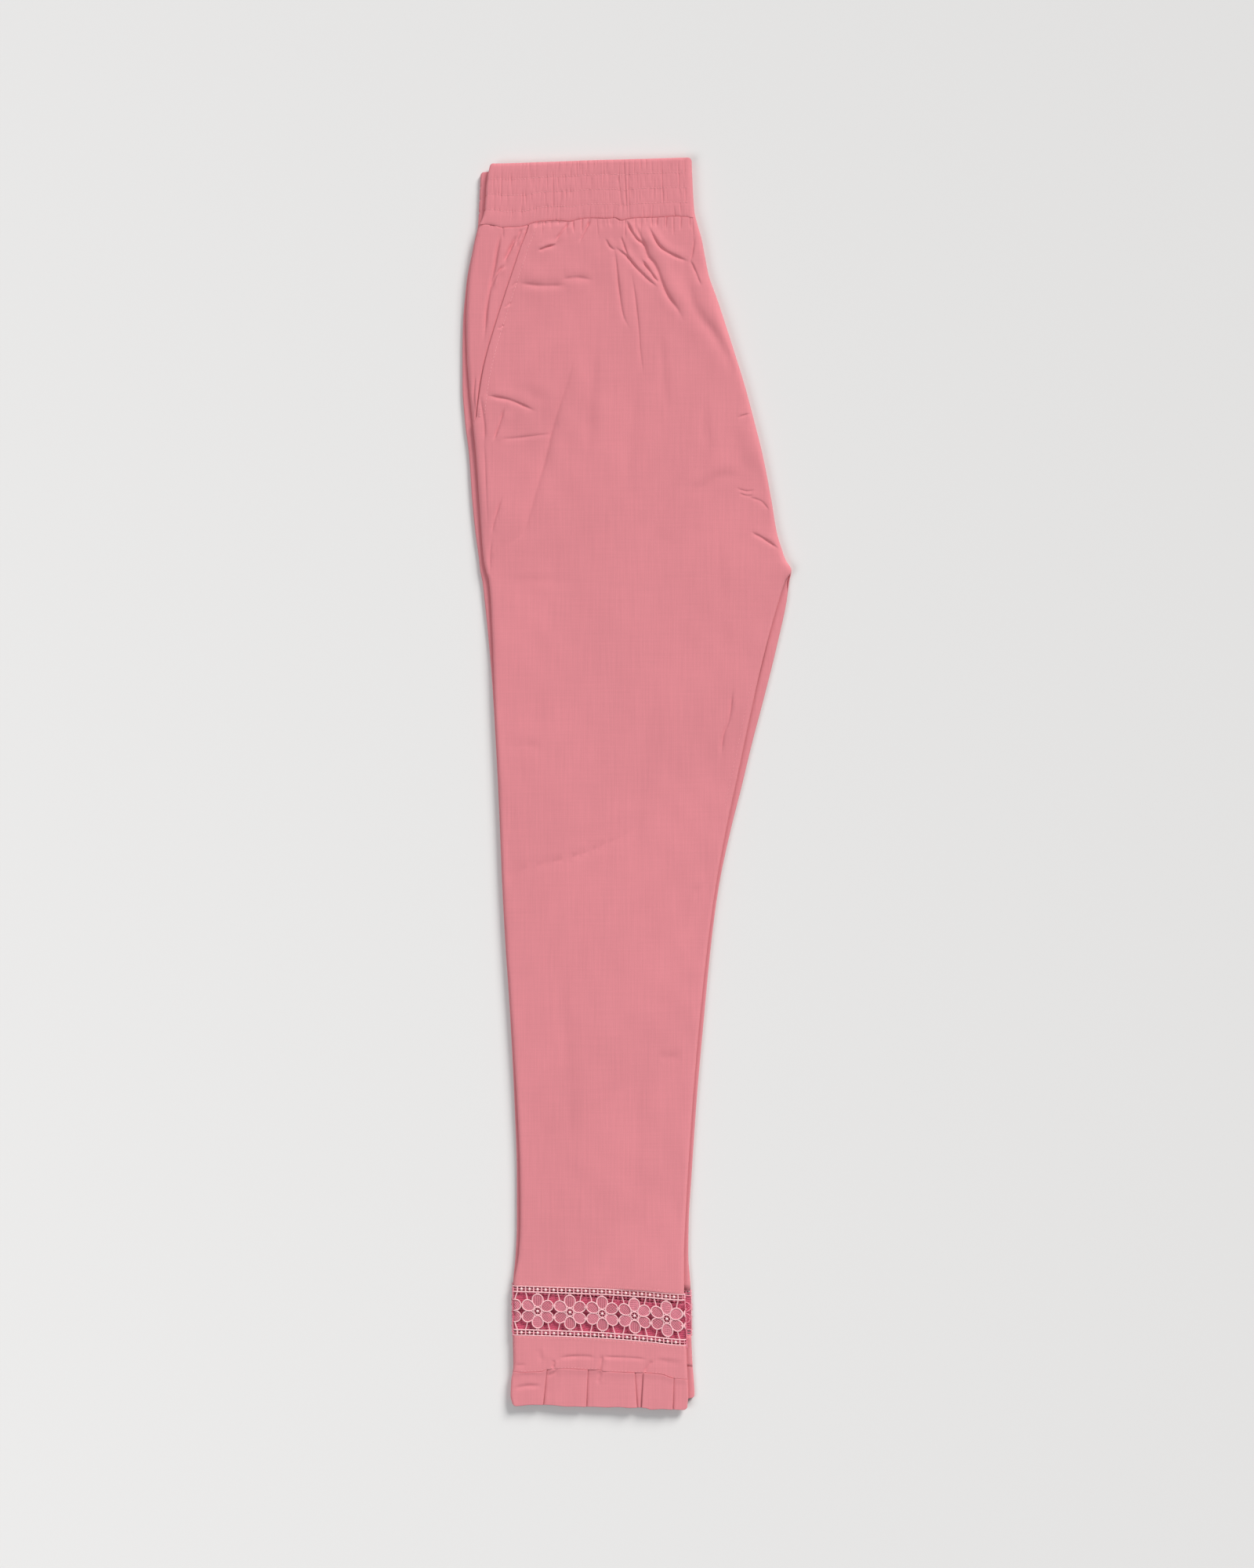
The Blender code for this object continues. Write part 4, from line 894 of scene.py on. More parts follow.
def lay_facing(name, leg):
    over = leg == "over"
    foot_seam = OVER_LACE_TOP if over else UNDER_LACE_TOP
    last = (FACING_FOOT - WAIST_SEAM.side) / (foot_seam.side - WAIST_SEAM.side)

    def inner_edge(down):
        return np.maximum(mouth_x(down, leg) + FACING_UNDERLAP, leg_left(leg, down) + 4.5)

    def side_curl(down):
        room = inner_edge(down) - leg_left(leg, down) - 1.0
        return np.minimum(SEAM_REACH, room), SEAM_DEPTH

    def place(u, v):
        x, down, drop, across, left, right = lay_between(
            WAIST_LINE if over else WAIST_SEAM, foot_seam, v * last, u, leg,
            None, inner_edge, side_curl, lambda down: FACING_CURL)
        under_mouth = hump(right - FACING_UNDERLAP - x, 1.0, 0.8)
        if not over:
            return x, down, FACING_STEP - 0.1 + drop + 0.5 * under_mouth
        lift = crease_height(FACING_CREASES, x, down) + 0.8 * valley_height(SEAM_GATHERS, x, down)
        lift *= ease(0.0, 3.0, x - left) * ease(0.0, 1.0, right - x)
        return x, down, stack_top(down, across) - FACING_STEP - drop + lift - 0.9 * under_mouth

    return lay_cloth(name, place, even(34), even(110), FACING_COTTON,
                     faces_down=not over,
                     finer=[finer_near(FACING_CREASES, 2.5, above=60)] if over else ())


right_facing = lay_facing("right_pocket_facing_cloth", "over")
left_facing = lay_facing("left_pocket_facing_cloth", "under")
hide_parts("pocket_facing_right")
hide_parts("pocket_facing_left")


# %% [markdown]
# The left front lies on the floor with its outer face down. It is gathered and creased as the
# right front is, but pressed flat, so only the valleys of its creases are left.

# %% Lay the left front
HIDDEN_SHIFT = (-4.0, 9.0)
HIDDEN_SHARE = 0.7
DEEPEST_HIDDEN = 1.0


def place_left_front(u, v):
    x, down, drop, _, left, right = lay_between(
        WAIST_SEAM, UNDER_LACE_TOP, v, u, "under",
        front_left_edge("under"), None, front_left_curl, crotch_curl)
    relief = crease_height(FRONT_CREASES, x + HIDDEN_SHIFT[0], down + HIDDEN_SHIFT[1])
    relief = relief + valley_height(SEAM_GATHERS, x + HIDDEN_SHIFT[0], down)
    valleys = np.clip(-HIDDEN_SHARE * relief, 0.0, DEEPEST_HIDDEN)
    return x, down, drop + valleys * fade_in(x, left, right, 4.0)


left_front = lay_cloth(
    "left_front_cloth", place_left_front, even(56),
    np.concatenate([np.linspace(0.0, 0.35, 80, endpoint=False), np.linspace(0.35, 1.0, 80)]),
    faces_down=True, finer=[finer_near(FRONT_CREASES, 5.0, 1.5, 58, HIDDEN_SHIFT),
                            finer_near(FRONT_CREASES, 1.8, 0.9, 58, HIDDEN_SHIFT)])
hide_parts("front_left")


# %% [markdown]
# The backs
#
# Both backs are hidden between the fronts, except along the edges, where each layer's rounded
# lip can be counted. Each back is laid as one sheet whose long edges turn back under, towards
# the groove between the two legs. Above the crotch there is no groove on the right: there the
# backs run round the centre back fold.

# %% Lay the backs
LIP_TURN, LIP_UNDER = 0.35, 0.6
GROOVE_REACH = 9.0
EDGE_SHARE = 0.16
BACK_LEVEL = CLOTH_ROOM + GAP


def lip(q, edge, inwards, face, middle, closed):
    """x and z of a back's edge. q runs from 0 at the end of the groove to 1 on the flat face."""
    from_face = 1 - q
    angle = QUARTER * (1 - np.clip(from_face / LIP_TURN, 0.0, 1.0))
    under = QUARTER * np.clip((from_face - LIP_TURN) / (LIP_UNDER - LIP_TURN), 0.0, 1.0)
    into_groove = np.clip((from_face - LIP_UNDER) / (1 - LIP_UNDER), 0.0, 1.0)
    inset = 0.2 + 3.0 * (1 - np.cos(angle)) + 0.8 * (1 - np.cos(under))
    inset = inset + into_groove * (GROOVE_REACH - 1.0)
    z = mix(mix(face, middle, 0.5), face, np.sin(angle))
    z = mix(z, mix(face, middle, 0.9), np.sin(under))
    fold_angle = QUARTER * (1 - 0.9 * np.clip(from_face / LIP_UNDER, 0.0, 1.0))
    fold_inset = FOLD_REACH - 2.55 * np.cos(fold_angle) + 4.0 * into_groove
    fold_z = mix(mix(middle, face, np.sin(fold_angle)), mix(face, middle, 0.75), into_groove)
    return edge + inwards * mix(inset, fold_inset, closed), mix(z, fold_z, closed)


def lay_back(name, leg, top_seam, foot_seam, rows, columns):
    """One back, or its cuff, between two seams."""
    def high_face(down, across):
        pocket_room = FACING_STEP * (1 - ease(POCKET_FOOT + 5, POCKET_FOOT + 60, down))
        return stack_top(down, across) - BACK_LEVEL - pocket_room

    def face_at(down, across):
        return high_face(down, across) if leg == "over" else np.full_like(down, BACK_LEVEL)

    def place(u, v):
        down_at = rows_between(top_seam, foot_seam, v)
        left, right = leg_left(leg, down_at(0.0)), leg_right(leg, down_at(1.0))
        closed = 1 - ease(CROTCH_DOWN + 5, CROTCH_DOWN + 20, down_at(1.0))
        middle = (BACK_LEVEL + high_face(down_at(0.0), 0.0)) / 2
        edge_face = face_at(down_at(0.0), 0.0)
        at_left, at_right = u < EDGE_SHARE, u > 1 - EDGE_SHARE
        left_x, left_z = lip(np.clip(u / EDGE_SHARE, 0.0, 1.0), left, 1, edge_face, middle, 0.0)
        right_x, right_z = lip(np.clip((1 - u) / EDGE_SHARE, 0.0, 1.0), right, -1, edge_face,
                               middle, closed)
        flat = mix(left_x, right_x, share_of(u, EDGE_SHARE, 1 - EDGE_SHARE))
        x = np.where(at_left, left_x, np.where(at_right, right_x, flat))
        across = share_of(x, left, right)
        down = down_at(across)
        face = face_at(down, across)
        return x, down, np.where(at_left, left_z, np.where(at_right, right_z, face))

    return lay_cloth(name, place, even(columns), even(rows), faces_down=leg == "under")


right_back = lay_back("right_back_cloth", "over", WAIST_SEAM, BACK_LACE_TOP, 160, 76)
left_back = lay_back("left_back_cloth", "under", WAIST_SEAM, UNDER_LACE_TOP, 160, 76)
right_back_cuff = lay_back("right_back_cuff_cloth", "over", BACK_LACE_FOOT, OVER_RUFFLE_SEAM,
                           10, 64)
left_back_cuff = lay_back("left_back_cuff_cloth", "under", UNDER_LACE_FOOT, UNDER_RUFFLE_SEAM,
                          10, 64)
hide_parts("back_panels")


# %% [markdown]
# The waistband
#
# An elastic is sewn into a casing with three rows of stitching, which divide it into four
# channels. The cloth puffs between the rows, is pinched at them, and gathers into narrow upright
# valleys, some of which cross all four channels. The band is one ring: it runs along the right
# front, round the front fold, along the left front on the floor, back along both backs with the
# centre back fold between them, and round the right side.

# %% The waistband's gathers
BAND_WALL = 1.7
BAND_CLOTH = 1.2
STITCH_ROWS = 3
CHANNELS = STITCH_ROWS + 1
BAND_HEIGHT = WAIST_SEAM.middle - WAIST_EDGE.middle
CHANNEL = BAND_HEIGHT / CHANNELS
LEVELS = BAND_WALL / 2 + (BAND_WALL + 0.4) * np.arange(4)

BAND_GATHERS = [Valley(-2.6, 2, 50, 0.06, 0.6, 0.5), Valley(0.9, 8, 52, 0.02, 0.5, 0.45),
                Valley(-6.4, 14, 50, 0.08, 0.45, 0.45), Valley(-57.0, 12, 46, -0.02, 0.5, 0.5),
                Valley(26.5, 4, 44, 0.03, 0.5, 0.5), Valley(-96.5, 14, 40, -0.04, 0.5, 0.45)]
for channel in range(CHANNELS):
    start = 2.0 + channel * CHANNEL
    BAND_GATHERS += scatter_valleys(20 + channel, -110, 48, 3.3, (start - 3, start + 3),
                                    (6, 20), (0.1, 0.5), 0.45)
    BAND_GATHERS += scatter_valleys(40 + channel, -110, 48, 6.0, (start - 2, start + 2),
                                    (8, 14), (0.1, 0.3), 1.1)


def band_down(share, across, foot_seam=WAIST_SEAM, lower=0.0):
    return mix(seam_down(WAIST_EDGE, across) + lower, seam_down(foot_seam, across), share)


def corner(x, left, right, radius):
    """How far a rounded corner draws the edge in."""
    near = np.clip(1 - np.minimum(x - left, right - x) / radius, 0.0, 1.0)
    return radius * (1 - np.sqrt(1 - near ** 2))


def band_surface(x, down, share):
    """Height of the band's top face."""
    in_channel = share * CHANNELS % 1.0
    from_row = np.minimum(in_channel, 1 - in_channel) * CHANNEL
    unstitched = np.minimum(share, 1 - share) < 0.5 / CHANNELS
    from_row = np.where(unstitched, CHANNEL / 2, from_row)
    from_top, from_seam = share * BAND_HEIGHT, (1 - share) * BAND_HEIGHT
    dips = (hump(from_row, 0.08, 0.6) + hump(from_row, 0.06, 2.6) + hump(from_seam, 0.45, 0.6)
            + hump(from_seam, 0.2, 3.0) + hump(from_top, 0.8, 0.8))
    top = LEVELS[3] + BAND_WALL / 2 + 0.15
    soft = 0.12 * np.sin(x / 6.1 + 0.8 * np.sin(x / 17)) + 0.1 * np.sin(x / 2.9 + down / 9)
    return top + soft + valley_height(BAND_GATHERS, x, down) - dips


print(len(BAND_GATHERS), "gathers in the band")


# %% [markdown]
# The ring's path is a list of flat runs and half turns, read at the middle of the band's wall,
# each with the direction that faces out of the cloth. Only the outer surface is laid, and the
# Solidify modifier adds the wall on its inner side.

# %% The ring's path
TOP_STEPS, FLOOR_STEPS = 430, 220


def turn(centre_x, centre_z, radius, start, end, steps, side=1):
    """Points round a turn of cloth, with the direction that faces out of it."""
    angle = np.radians(np.linspace(start, end, steps + 1)[1:-1])[None, :]
    out_x, out_z = np.cos(angle), np.sin(angle)
    return np.broadcast_arrays(centre_x + radius * out_x, centre_z + radius * out_z,
                               side * out_x, side * out_z)


def run(start_x, end_x, level, out_z, steps):
    """Points along a flat stretch of cloth, with the direction that faces out of it."""
    x = mix(start_x, end_x, even(steps + 1)[None, :])
    return np.broadcast_arrays(x, level, 0.0, out_z)


def joined(stretches):
    return [np.concatenate(parts, axis=1) for parts in zip(*stretches)]


shares = [k / CHANNELS + offset / BAND_HEIGHT for k in range(1, CHANNELS)
          for offset in (-1.2, -0.5, 0.0, 0.5, 1.2)]
shares += [(k + part) / CHANNELS for k in range(CHANNELS) for part in (0.25, 0.5, 0.75)]
shares += [0.0, 0.5 / BAND_HEIGHT, 1.2 / BAND_HEIGHT, 1 - 1.2 / BAND_HEIGHT,
           1 - 0.6 / BAND_HEIGHT, 1 - 0.25 / BAND_HEIGHT, 1.0]
shares = np.array(sorted(set(shares)))[:, None]
small_turn, big_turn = (LEVELS[1] - LEVELS[0]) / 2, (LEVELS[3] - LEVELS[0]) / 2
band_middle = (LEVELS[3] + LEVELS[0]) / 2
over_edge = leg_left("over", band_down(shares, 0.0))
under_edge = leg_left("under", band_down(shares, 0.0))
right_edge = leg_right("over", band_down(shares, 1.0))
over = over_edge + BAND_WALL / 2 + small_turn
under = under_edge + BAND_WALL / 2 + small_turn
right = right_edge - BAND_WALL / 2 - big_turn
inner_right = right - 0.6
x, z, out_x, out_z = joined([
    run(over, right, LEVELS[3], 1.0, TOP_STEPS),
    turn(right, band_middle, big_turn, 90, -90, 14),
    run(right, under, LEVELS[0], -1.0, FLOOR_STEPS),
    turn(under, (LEVELS[0] + LEVELS[1]) / 2, small_turn, 270, 90, 10),
    run(under, inner_right, LEVELS[1], 1.0, 60),
    turn(inner_right, band_middle, small_turn, -90, 90, 8, side=-1),
    run(inner_right, over, LEVELS[2], -1.0, 20),
    turn(over, (LEVELS[2] + LEVELS[3]) / 2, small_turn, 270, 90, 10),
    run(over, over, LEVELS[3], 1.0, 0),
])
print("the ring has", x.shape[1], "places round it in", x.shape[0], "rows")

# %% [markdown]
# The top run follows the gathered surface. The run on the floor has the valleys of the same
# gathers, pressed flatter. The top seam of the band is hidden under its upper edge.

# %% Lay the waistband
def lay_ring(name, x, down, z, thickness, offset=-1.0):
    """A closed ring of cloth, from tables of the places of its rows and columns."""
    x, down, z = np.broadcast_arrays(x, down, z)
    rows, columns = x.shape

    def place(u, v):
        at = np.rint(v * (rows - 1)).astype(int), np.rint(u * (columns - 1)).astype(int)
        return x[at], down[at], z[at]

    return lay_cloth(name, place, even(columns), even(rows), thickness=thickness,
                     offset=offset, ring=True)


UNDER_LOWER, BAND_CORNER = 6.0, 3.0
ROW_DIP, ROW_DIP_WIDTH = 0.7, 0.8
column = np.arange(x.shape[1])[None, :]
on_top = (column <= TOP_STEPS) | (column == x.shape[1] - 1)
x, z = x + out_x * BAND_WALL / 2, z + out_z * BAND_WALL / 2
is_low = z < band_middle
of_under_leg = is_low * (1 - ease(under_edge + 6, under_edge + 16, x))
across = share_of(x, over_edge, right_edge)
left_edge = np.where(is_low, under_edge, over_edge)
lower = UNDER_LOWER * of_under_leg + corner(x, left_edge, right_edge, BAND_CORNER)
down = np.where(is_low, band_down(shares, across, WAIST_SEAM, lower),
                band_down(shares, across, WAIST_LINE, lower))
settle_in = ease(-1.0, 3.0, x - over) * ease(-1.0, 3.0, right - x)
z = np.where(on_top, mix(z, band_surface(x, down, shares), settle_in), z)
on_floor = (out_z < -0.9) & (z < LEVELS[0])
z = z - on_floor * HIDDEN_SHARE * valley_height(BAND_GATHERS, x, down)
row_dips = sum(hump((shares - k / CHANNELS) * BAND_HEIGHT, ROW_DIP, ROW_DIP_WIDTH)
               for k in range(1, CHANNELS))
x = x + row_dips * (out_x < -0.2) * -out_x
waistband = lay_ring("waistband_cloth", x, down, z, BAND_CLOTH)
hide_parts("waistband")


# %% [markdown]
# The cuffs
#
# A plain band joins the lace to the ruffle on each leg. On the right one, sharp ridges show
# where the ruffle's pleats and its seam allowance were pressed up underneath.

# %% Lay the front cuffs
CUFF_CREASES = crease_table(
    (0.8, 0.9, 2.5, 3, 0.15, (-53, 924.6), (-41.5, 923.2), (-28.8, 923.4), (-24, 924.8)),
    (0.7, 0.7, 2.5, 3, 0.12, (-20.5, 923.7), (-12, 923.9), (4.5, 924.6), (16.5, 925.8)),
    (0.9, 1.3, 2, 2.6, 0.4, (-19, 922.6), (-20, 930.5), (-20.8, 939)),
    (0.9, 1.3, 2.6, 2, 0.35, (20, 927), (15.4, 932.3), (12.6, 938.5)),
    (0.8, 1.3, 1.6, 1.6, 0.4, (-56, 926.5), (-56.3, 930), (-57, 933.5)),
    (0.9, 0.6, 2, 2, 0.08, (-90, 929.6), (-84, 930.4), (-78, 929.6)),
    (1.6, 0.62, 3, 3, 0.25, (-68, 918), (-66.5, 923), (-65, 928)),
    (1.6, 0.5, 3, 3, 0.25, (22, 926), (32, 927.5), (42, 929)),
)


def lay_cuff(name, leg):
    over = leg == "over"
    top_seam = OVER_LACE_FOOT if over else UNDER_LACE_FOOT
    foot_seam = RUFFLE_LINE if over else UNDER_RUFFLE_SEAM

    def place(u, v):
        x, down, drop, across, left, right = lay_between(top_seam, foot_seam, v, u, leg)
        relief = crease_height(CUFF_CREASES, x, down) * fade_in(x, left, right, 4.0)
        if over:
            return x, down, stack_top(down, across) - drop + relief
        return x, down, drop + np.clip(-relief, 0.0, DEEPEST_HIDDEN)

    rows = np.concatenate([[0.0, 0.02], np.linspace(0.05, 0.95, 20), [0.98, 1.0]])
    return lay_cloth(name, place, even(110), rows, faces_down=not over,
                     finer=[finer_near(CUFF_CREASES, 2.0)] if over else ())


right_cuff = lay_cuff("right_cuff_cloth", "over")
left_cuff = lay_cuff("left_cuff_cloth", "under")
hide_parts("cuff_front_right")
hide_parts("cuff_front_left")


# %% [markdown]
# The ruffles
#
# Each hem ends in a narrow frill of knife pleats. In a knife pleat the cloth runs to the fold,
# turns back under itself for a few millimetres, and turns again to go on: three layers at the
# fold. The cloth's path through the pleats is listed as control points that climb, turn and
# drop, the same number in every row, so that the rows join into one continuous sheet.

# %% The path through the pleats
Pleat = namedtuple("Pleat", "x_seam x_hem facing")
PLEATS = [Pleat(-62.0, -65.0, 1), Pleat(-30.4, -31.8, 1), Pleat(5.7, 7.4, 1),
          Pleat(13.0, 11.6, -1), Pleat(35.8, 34.9, 1)]
RUFFLE_ROOM, RUFFLE_CLOTH, PLEAT_LAYER = 1.3, 0.42, 0.55
RUFFLE_DEPTH, SEAM_PUFF, SEAM_PUFF_WIDTH = 27.0, 0.42, 3.0
UNDERLAP = 6.0
RUFFLE_CREASES = crease_table(
    (5, 1, 2, 2, 0, (-60, 930), (-62.5, 950), (-64, 970)),
    (4, 0.7, 2, 2, 0, (-27, 932), (-29, 950), (-30, 970)),
    (0.9, 1.2, 2, 2.6, 0.15, (-86, 947.8), (-77.8, 946), (-66, 946)),
    (0.81, 0.91, 1.6, 1.6, 0.36, (-61, 938), (-57.2, 936.8), (-53.6, 934)),
    (1.08, 1.04, 2, 2, 0.24, (-20.4, 934), (-21, 939), (-22.4, 944.5)),
    (1.2, 0.5, 2, 2, 0.08, (-84, 937.6), (-76, 937.4), (-69, 937)),
)


def pleat_turn(centre_x, centre_lift, start, end):
    """Points round one fold of a pleat."""
    return [(centre_x + PLEAT_LAYER / 2 * math.cos(angle),
             centre_lift + PLEAT_LAYER / 2 * math.sin(angle))
            for angle in np.radians(np.linspace(start, end, 5))]


def pleated_path(left, right, share):
    """The ruffle's top layer in one row: a list of (x, lift), from left to right."""
    path = [(left, 0.0), (left + 4.0, 0.05)]
    low, middle = PLEAT_LAYER / 2, PLEAT_LAYER * 1.5
    slit = 0.35 + 0.5 * share
    for pleat in PLEATS:
        edge = mix(pleat.x_seam, pleat.x_hem, share)
        behind = edge - pleat.facing * UNDERLAP
        if pleat.facing > 0:
            path += [(behind - 3.0, PLEAT_LAYER * 1.75), (behind, PLEAT_LAYER * 1.95)]
            path += pleat_turn(edge - low, middle, 90, -90)
            path += pleat_turn(behind, low, 90, 270)
            path += [(edge - 0.4, -slit), (edge + 0.5, -slit), (edge + 2.0, 0.0)]
        else:
            path += [(edge - 2.0, 0.0), (edge - 0.5, -slit), (edge + 0.4, -slit)]
            path += pleat_turn(behind, low, -90, 90)
            path += pleat_turn(edge + low, middle, 270, 90)
            path += [(behind, PLEAT_LAYER * 1.95), (behind + 2.0, PLEAT_LAYER * 1.8)]
    return path + [(right, 0.0)]


def finer_steps(values, longest):
    """Splits each step of a path so that none is longer than a few millimetres in any row."""
    spans = np.abs(np.diff(values[..., 0], axis=1)).max(axis=0)
    counts = np.maximum(1, np.ceil(spans / longest)).astype(int)
    places = np.concatenate([k + np.arange(count) / count for k, count in enumerate(counts)]
                            + [[len(counts)]])
    k = np.minimum(places.astype(int), len(counts) - 1)
    t = (places - k)[None, :, None]
    return values[:, k] * (1 - t) + values[:, k + 1] * t


def hidden_pleats(x, shares):
    """The pleats of the left ruffle, pressed flat against the floor: a groove and a step each."""
    lift = np.zeros_like(x)
    for pleat in PLEATS:
        beyond = (x - mix(pleat.x_seam, pleat.x_hem, shares)) * pleat.facing
        lift = lift + hump(beyond, 0.45, 0.5)
        lift = lift + 0.35 * ease(0.0, 0.8, beyond) * (1 - ease(3.0, 9.0, beyond))
    return lift


print(len(PLEATS), "pleats, each", UNDERLAP, "mm deep under its fold")


# %% Lay both ruffles
def lay_ruffle(name, leg):
    pleated = leg == "over"
    shares = np.concatenate([[0.0, 0.015, 0.035], np.linspace(0.07, 0.96, 24), [0.985, 1.0]])
    shares = shares[:, None]
    down_at = rows_between(RUFFLE_LINE if pleated else UNDER_RUFFLE_SEAM,
                           HEM_LINE if pleated else UNDER_HEM, shares)
    floor = 2 * RUFFLE_ROOM + 0.4 + GAP if pleated else 0.0
    low = floor + RUFFLE_CLOTH / 2
    high = floor + 2 * RUFFLE_ROOM + 0.4 - RUFFLE_CLOTH / 2
    middle, radius = (low + high) / 2, (high - low) / 2
    left_edge, right_edge = leg_left(leg, down_at(0.0)), leg_right(leg, down_at(1.0))
    left = left_edge + RUFFLE_CLOTH / 2 + radius
    right = right_edge - RUFFLE_CLOTH / 2 - radius
    top = np.array([pleated_path(a, b, share) if pleated else [(a, 0.0), (b, 0.0)]
                    for a, b, share in zip(left[:, 0], right[:, 0], shares[:, 0])])
    top = finer_steps(top, 1.0 if pleated else 3.0)
    top_x, top_z = top[..., 0], high + top[..., 1] * mix(0.75, 1.0, shares)
    top_z = top_z + hump(shares * RUFFLE_DEPTH, SEAM_PUFF, SEAM_PUFF_WIDTH)
    if pleated:
        across = share_of(top_x, left_edge, right_edge)
        relief = crease_height(RUFFLE_CREASES, top_x, down_at(across))
        top_z = top_z + relief * ease(0.0, 3.0, top_x - left)
        top_z = top_z + 0.25 * shares * np.sin(top_x / 5.0 + 1.0)
    under_x, under_z, _, _ = run(right, left, low, -1.0, 40 if pleated else 220)
    if not pleated:
        under_z = under_z + hidden_pleats(under_x, shares)
    x, z = joined([(top_x, top_z), turn(right, middle, radius, 90, -90, 8)[:2],
                   (under_x, under_z), turn(left, middle, radius, 270, 90, 8)[:2],
                   (top_x[:, :1], top_z[:, :1])])
    down = down_at(share_of(x, left_edge, right_edge))
    down = down + shares * (0.2 * np.sin(x / 5.5) + 0.15 * np.sin(x / 2.7 + 1.0))
    down = np.minimum(down - shares ** 3 * corner(x, left_edge, right_edge, 3.5), LENGTH)
    return lay_ring(name, x, down, z, RUFFLE_CLOTH, offset=0.0)


right_ruffle = lay_ruffle("right_ruffle_cloth", "over")
left_ruffle = lay_ruffle("left_ruffle_cloth", "under")
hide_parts("ruffle_right")
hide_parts("ruffle_left")


# %% [markdown]
# The lace
#
# The insertion above each cuff is corded lace: a row of six-petalled flowers between two narrow
# ladders. It has no ground cloth, so it is built from its threads. Each thread is a spline with
# a round bevel, because a curve keeps its thickness on any path. Petals are outlined in cord and
# filled with thinner parallel threads, some of them crossed by a second set. The flower is a
# plain traditional one, drawn by formula.

# %% The threads of one flower and its bars
REPEAT, FIRST_FLOWER = 24.85, 19.25
PETAL_REACH, PETAL_LONG, PETAL_WIDE, PETALS = 8.3, 4.9, 4.2, 6
RING_RADIUS = 3.0
CORD, FILL, FILL_PITCH = 0.46, 0.36, 1.0
SPOKE, SPOKE_ENDS = 0.28, (0.6, 2.9)
Thread = namedtuple("Thread", "radius closed points")


def petal_point(flower_x, angle, far, wide, height):
    """A point of a petal, given along and across its own axis."""
    reach = PETAL_REACH + far
    return (flower_x + reach * math.cos(angle) - wide * math.sin(angle),
            reach * math.sin(angle) + wide * math.cos(angle), height)


def petal_cord(flower_x, angle, height):
    outline = []
    for turned in np.arange(20) * math.pi / 10:
        far = PETAL_LONG * math.cos(turned)
        wide = PETAL_WIDE * math.sin(turned) * (1 + 0.1 * math.cos(turned))
        outline.append(petal_point(flower_x, angle, far, wide, height))
    return Thread(CORD, True, outline)


def petal_filling(flower_x, angle, crossed):
    """Parallel threads within a petal, and a second set across them."""
    made = []
    for across in (False, True) if crossed else (False,):
        long, wide = (PETAL_WIDE, PETAL_LONG) if across else (PETAL_LONG, PETAL_WIDE)
        count = int(2 * wide / FILL_PITCH)
        for offset in (np.arange(count) - (count - 1) / 2) * FILL_PITCH:
            half = long * math.sqrt(max(0.0, 1 - (offset / wide) ** 2)) * 0.97
            if half < 0.8:
                continue
            line = []
            for step in (-1.0, -0.4, 0.4, 1.0):
                far, side = (offset, step * half) if across else (step * half, offset)
                lift = 0.22 + 0.25 * (1 - step * step) + (0.18 if across else 0.0)
                line.append(petal_point(flower_x, angle, far, side, lift))
            made.append(Thread(FILL, False, line))
    return made


def flower_ring(flower_x):
    return Thread(CORD, True, [(flower_x + RING_RADIUS * math.cos(angle),
                                RING_RADIUS * math.sin(angle), 0.75)
                               for angle in np.arange(18) * math.pi / 9])


def ring_spokes(flower_x):
    return [Thread(SPOKE, False, [(flower_x + far * math.cos(angle), far * math.sin(angle), 0.5)
                                  for far in SPOKE_ENDS])
            for angle in (np.arange(PETALS) + 0.5) * math.pi / 3]


def connecting_bars(flower_x, inner):
    """Cords from the ladders to the petals, and between neighbouring flowers."""
    bars = []
    for side in (1, -1):
        bars.append([(side * 1.0, inner, 0.4), (side * 0.4, 12.9, 0.5)])
        bars.append([(side * 9.4, inner, 0.4), (side * 8.3, 11.2, 0.45), (side * 7.8, 8.4, 0.5)])
    for reach, height in ((1.6, 4.4), (1.2, 5.1)):
        bars.append([(REPEAT / 2 + side * reach, height, 0.5) for side in (-1, 1)])
    return [Thread(CORD * 0.9, False, [(flower_x + x, up * t, lift) for x, t, lift in bar])
            for up in (1, -1) for bar in bars]


print("a flower repeats every", REPEAT, "mm")


# %% [markdown]
# A ladder is two rails, a thin bar along the middle, and a post between each pair of beads. The
# small square holes between them are what shows as dark dots in the photograph. A cord closes
# each end of the lace, where it is sewn in. A layer that shows only through the one above has
# all its petals crossed and extra floating threads, so that no floor shows between the flowers.
# These added threads take the darker lace colours and are painted shade: they stand for the shade
# deep between the layers.

# %% The threads of the ladders, and a whole flat lace
LADDER_HEIGHT = 4.6
OUTER_RAIL, INNER_RAIL, POST = 0.45, 0.52, 0.5
THIN_BAR, THIN_POST = 0.36, 0.34
CELL = REPEAT / 4
BEAD_MARGIN = 3.0
FLOAT_PITCH = 0.98
EDGE_CORD_IN = 0.5
RAIL_IN, WOBBLE = 0.35, 0.07
OVERRUN = 2.0


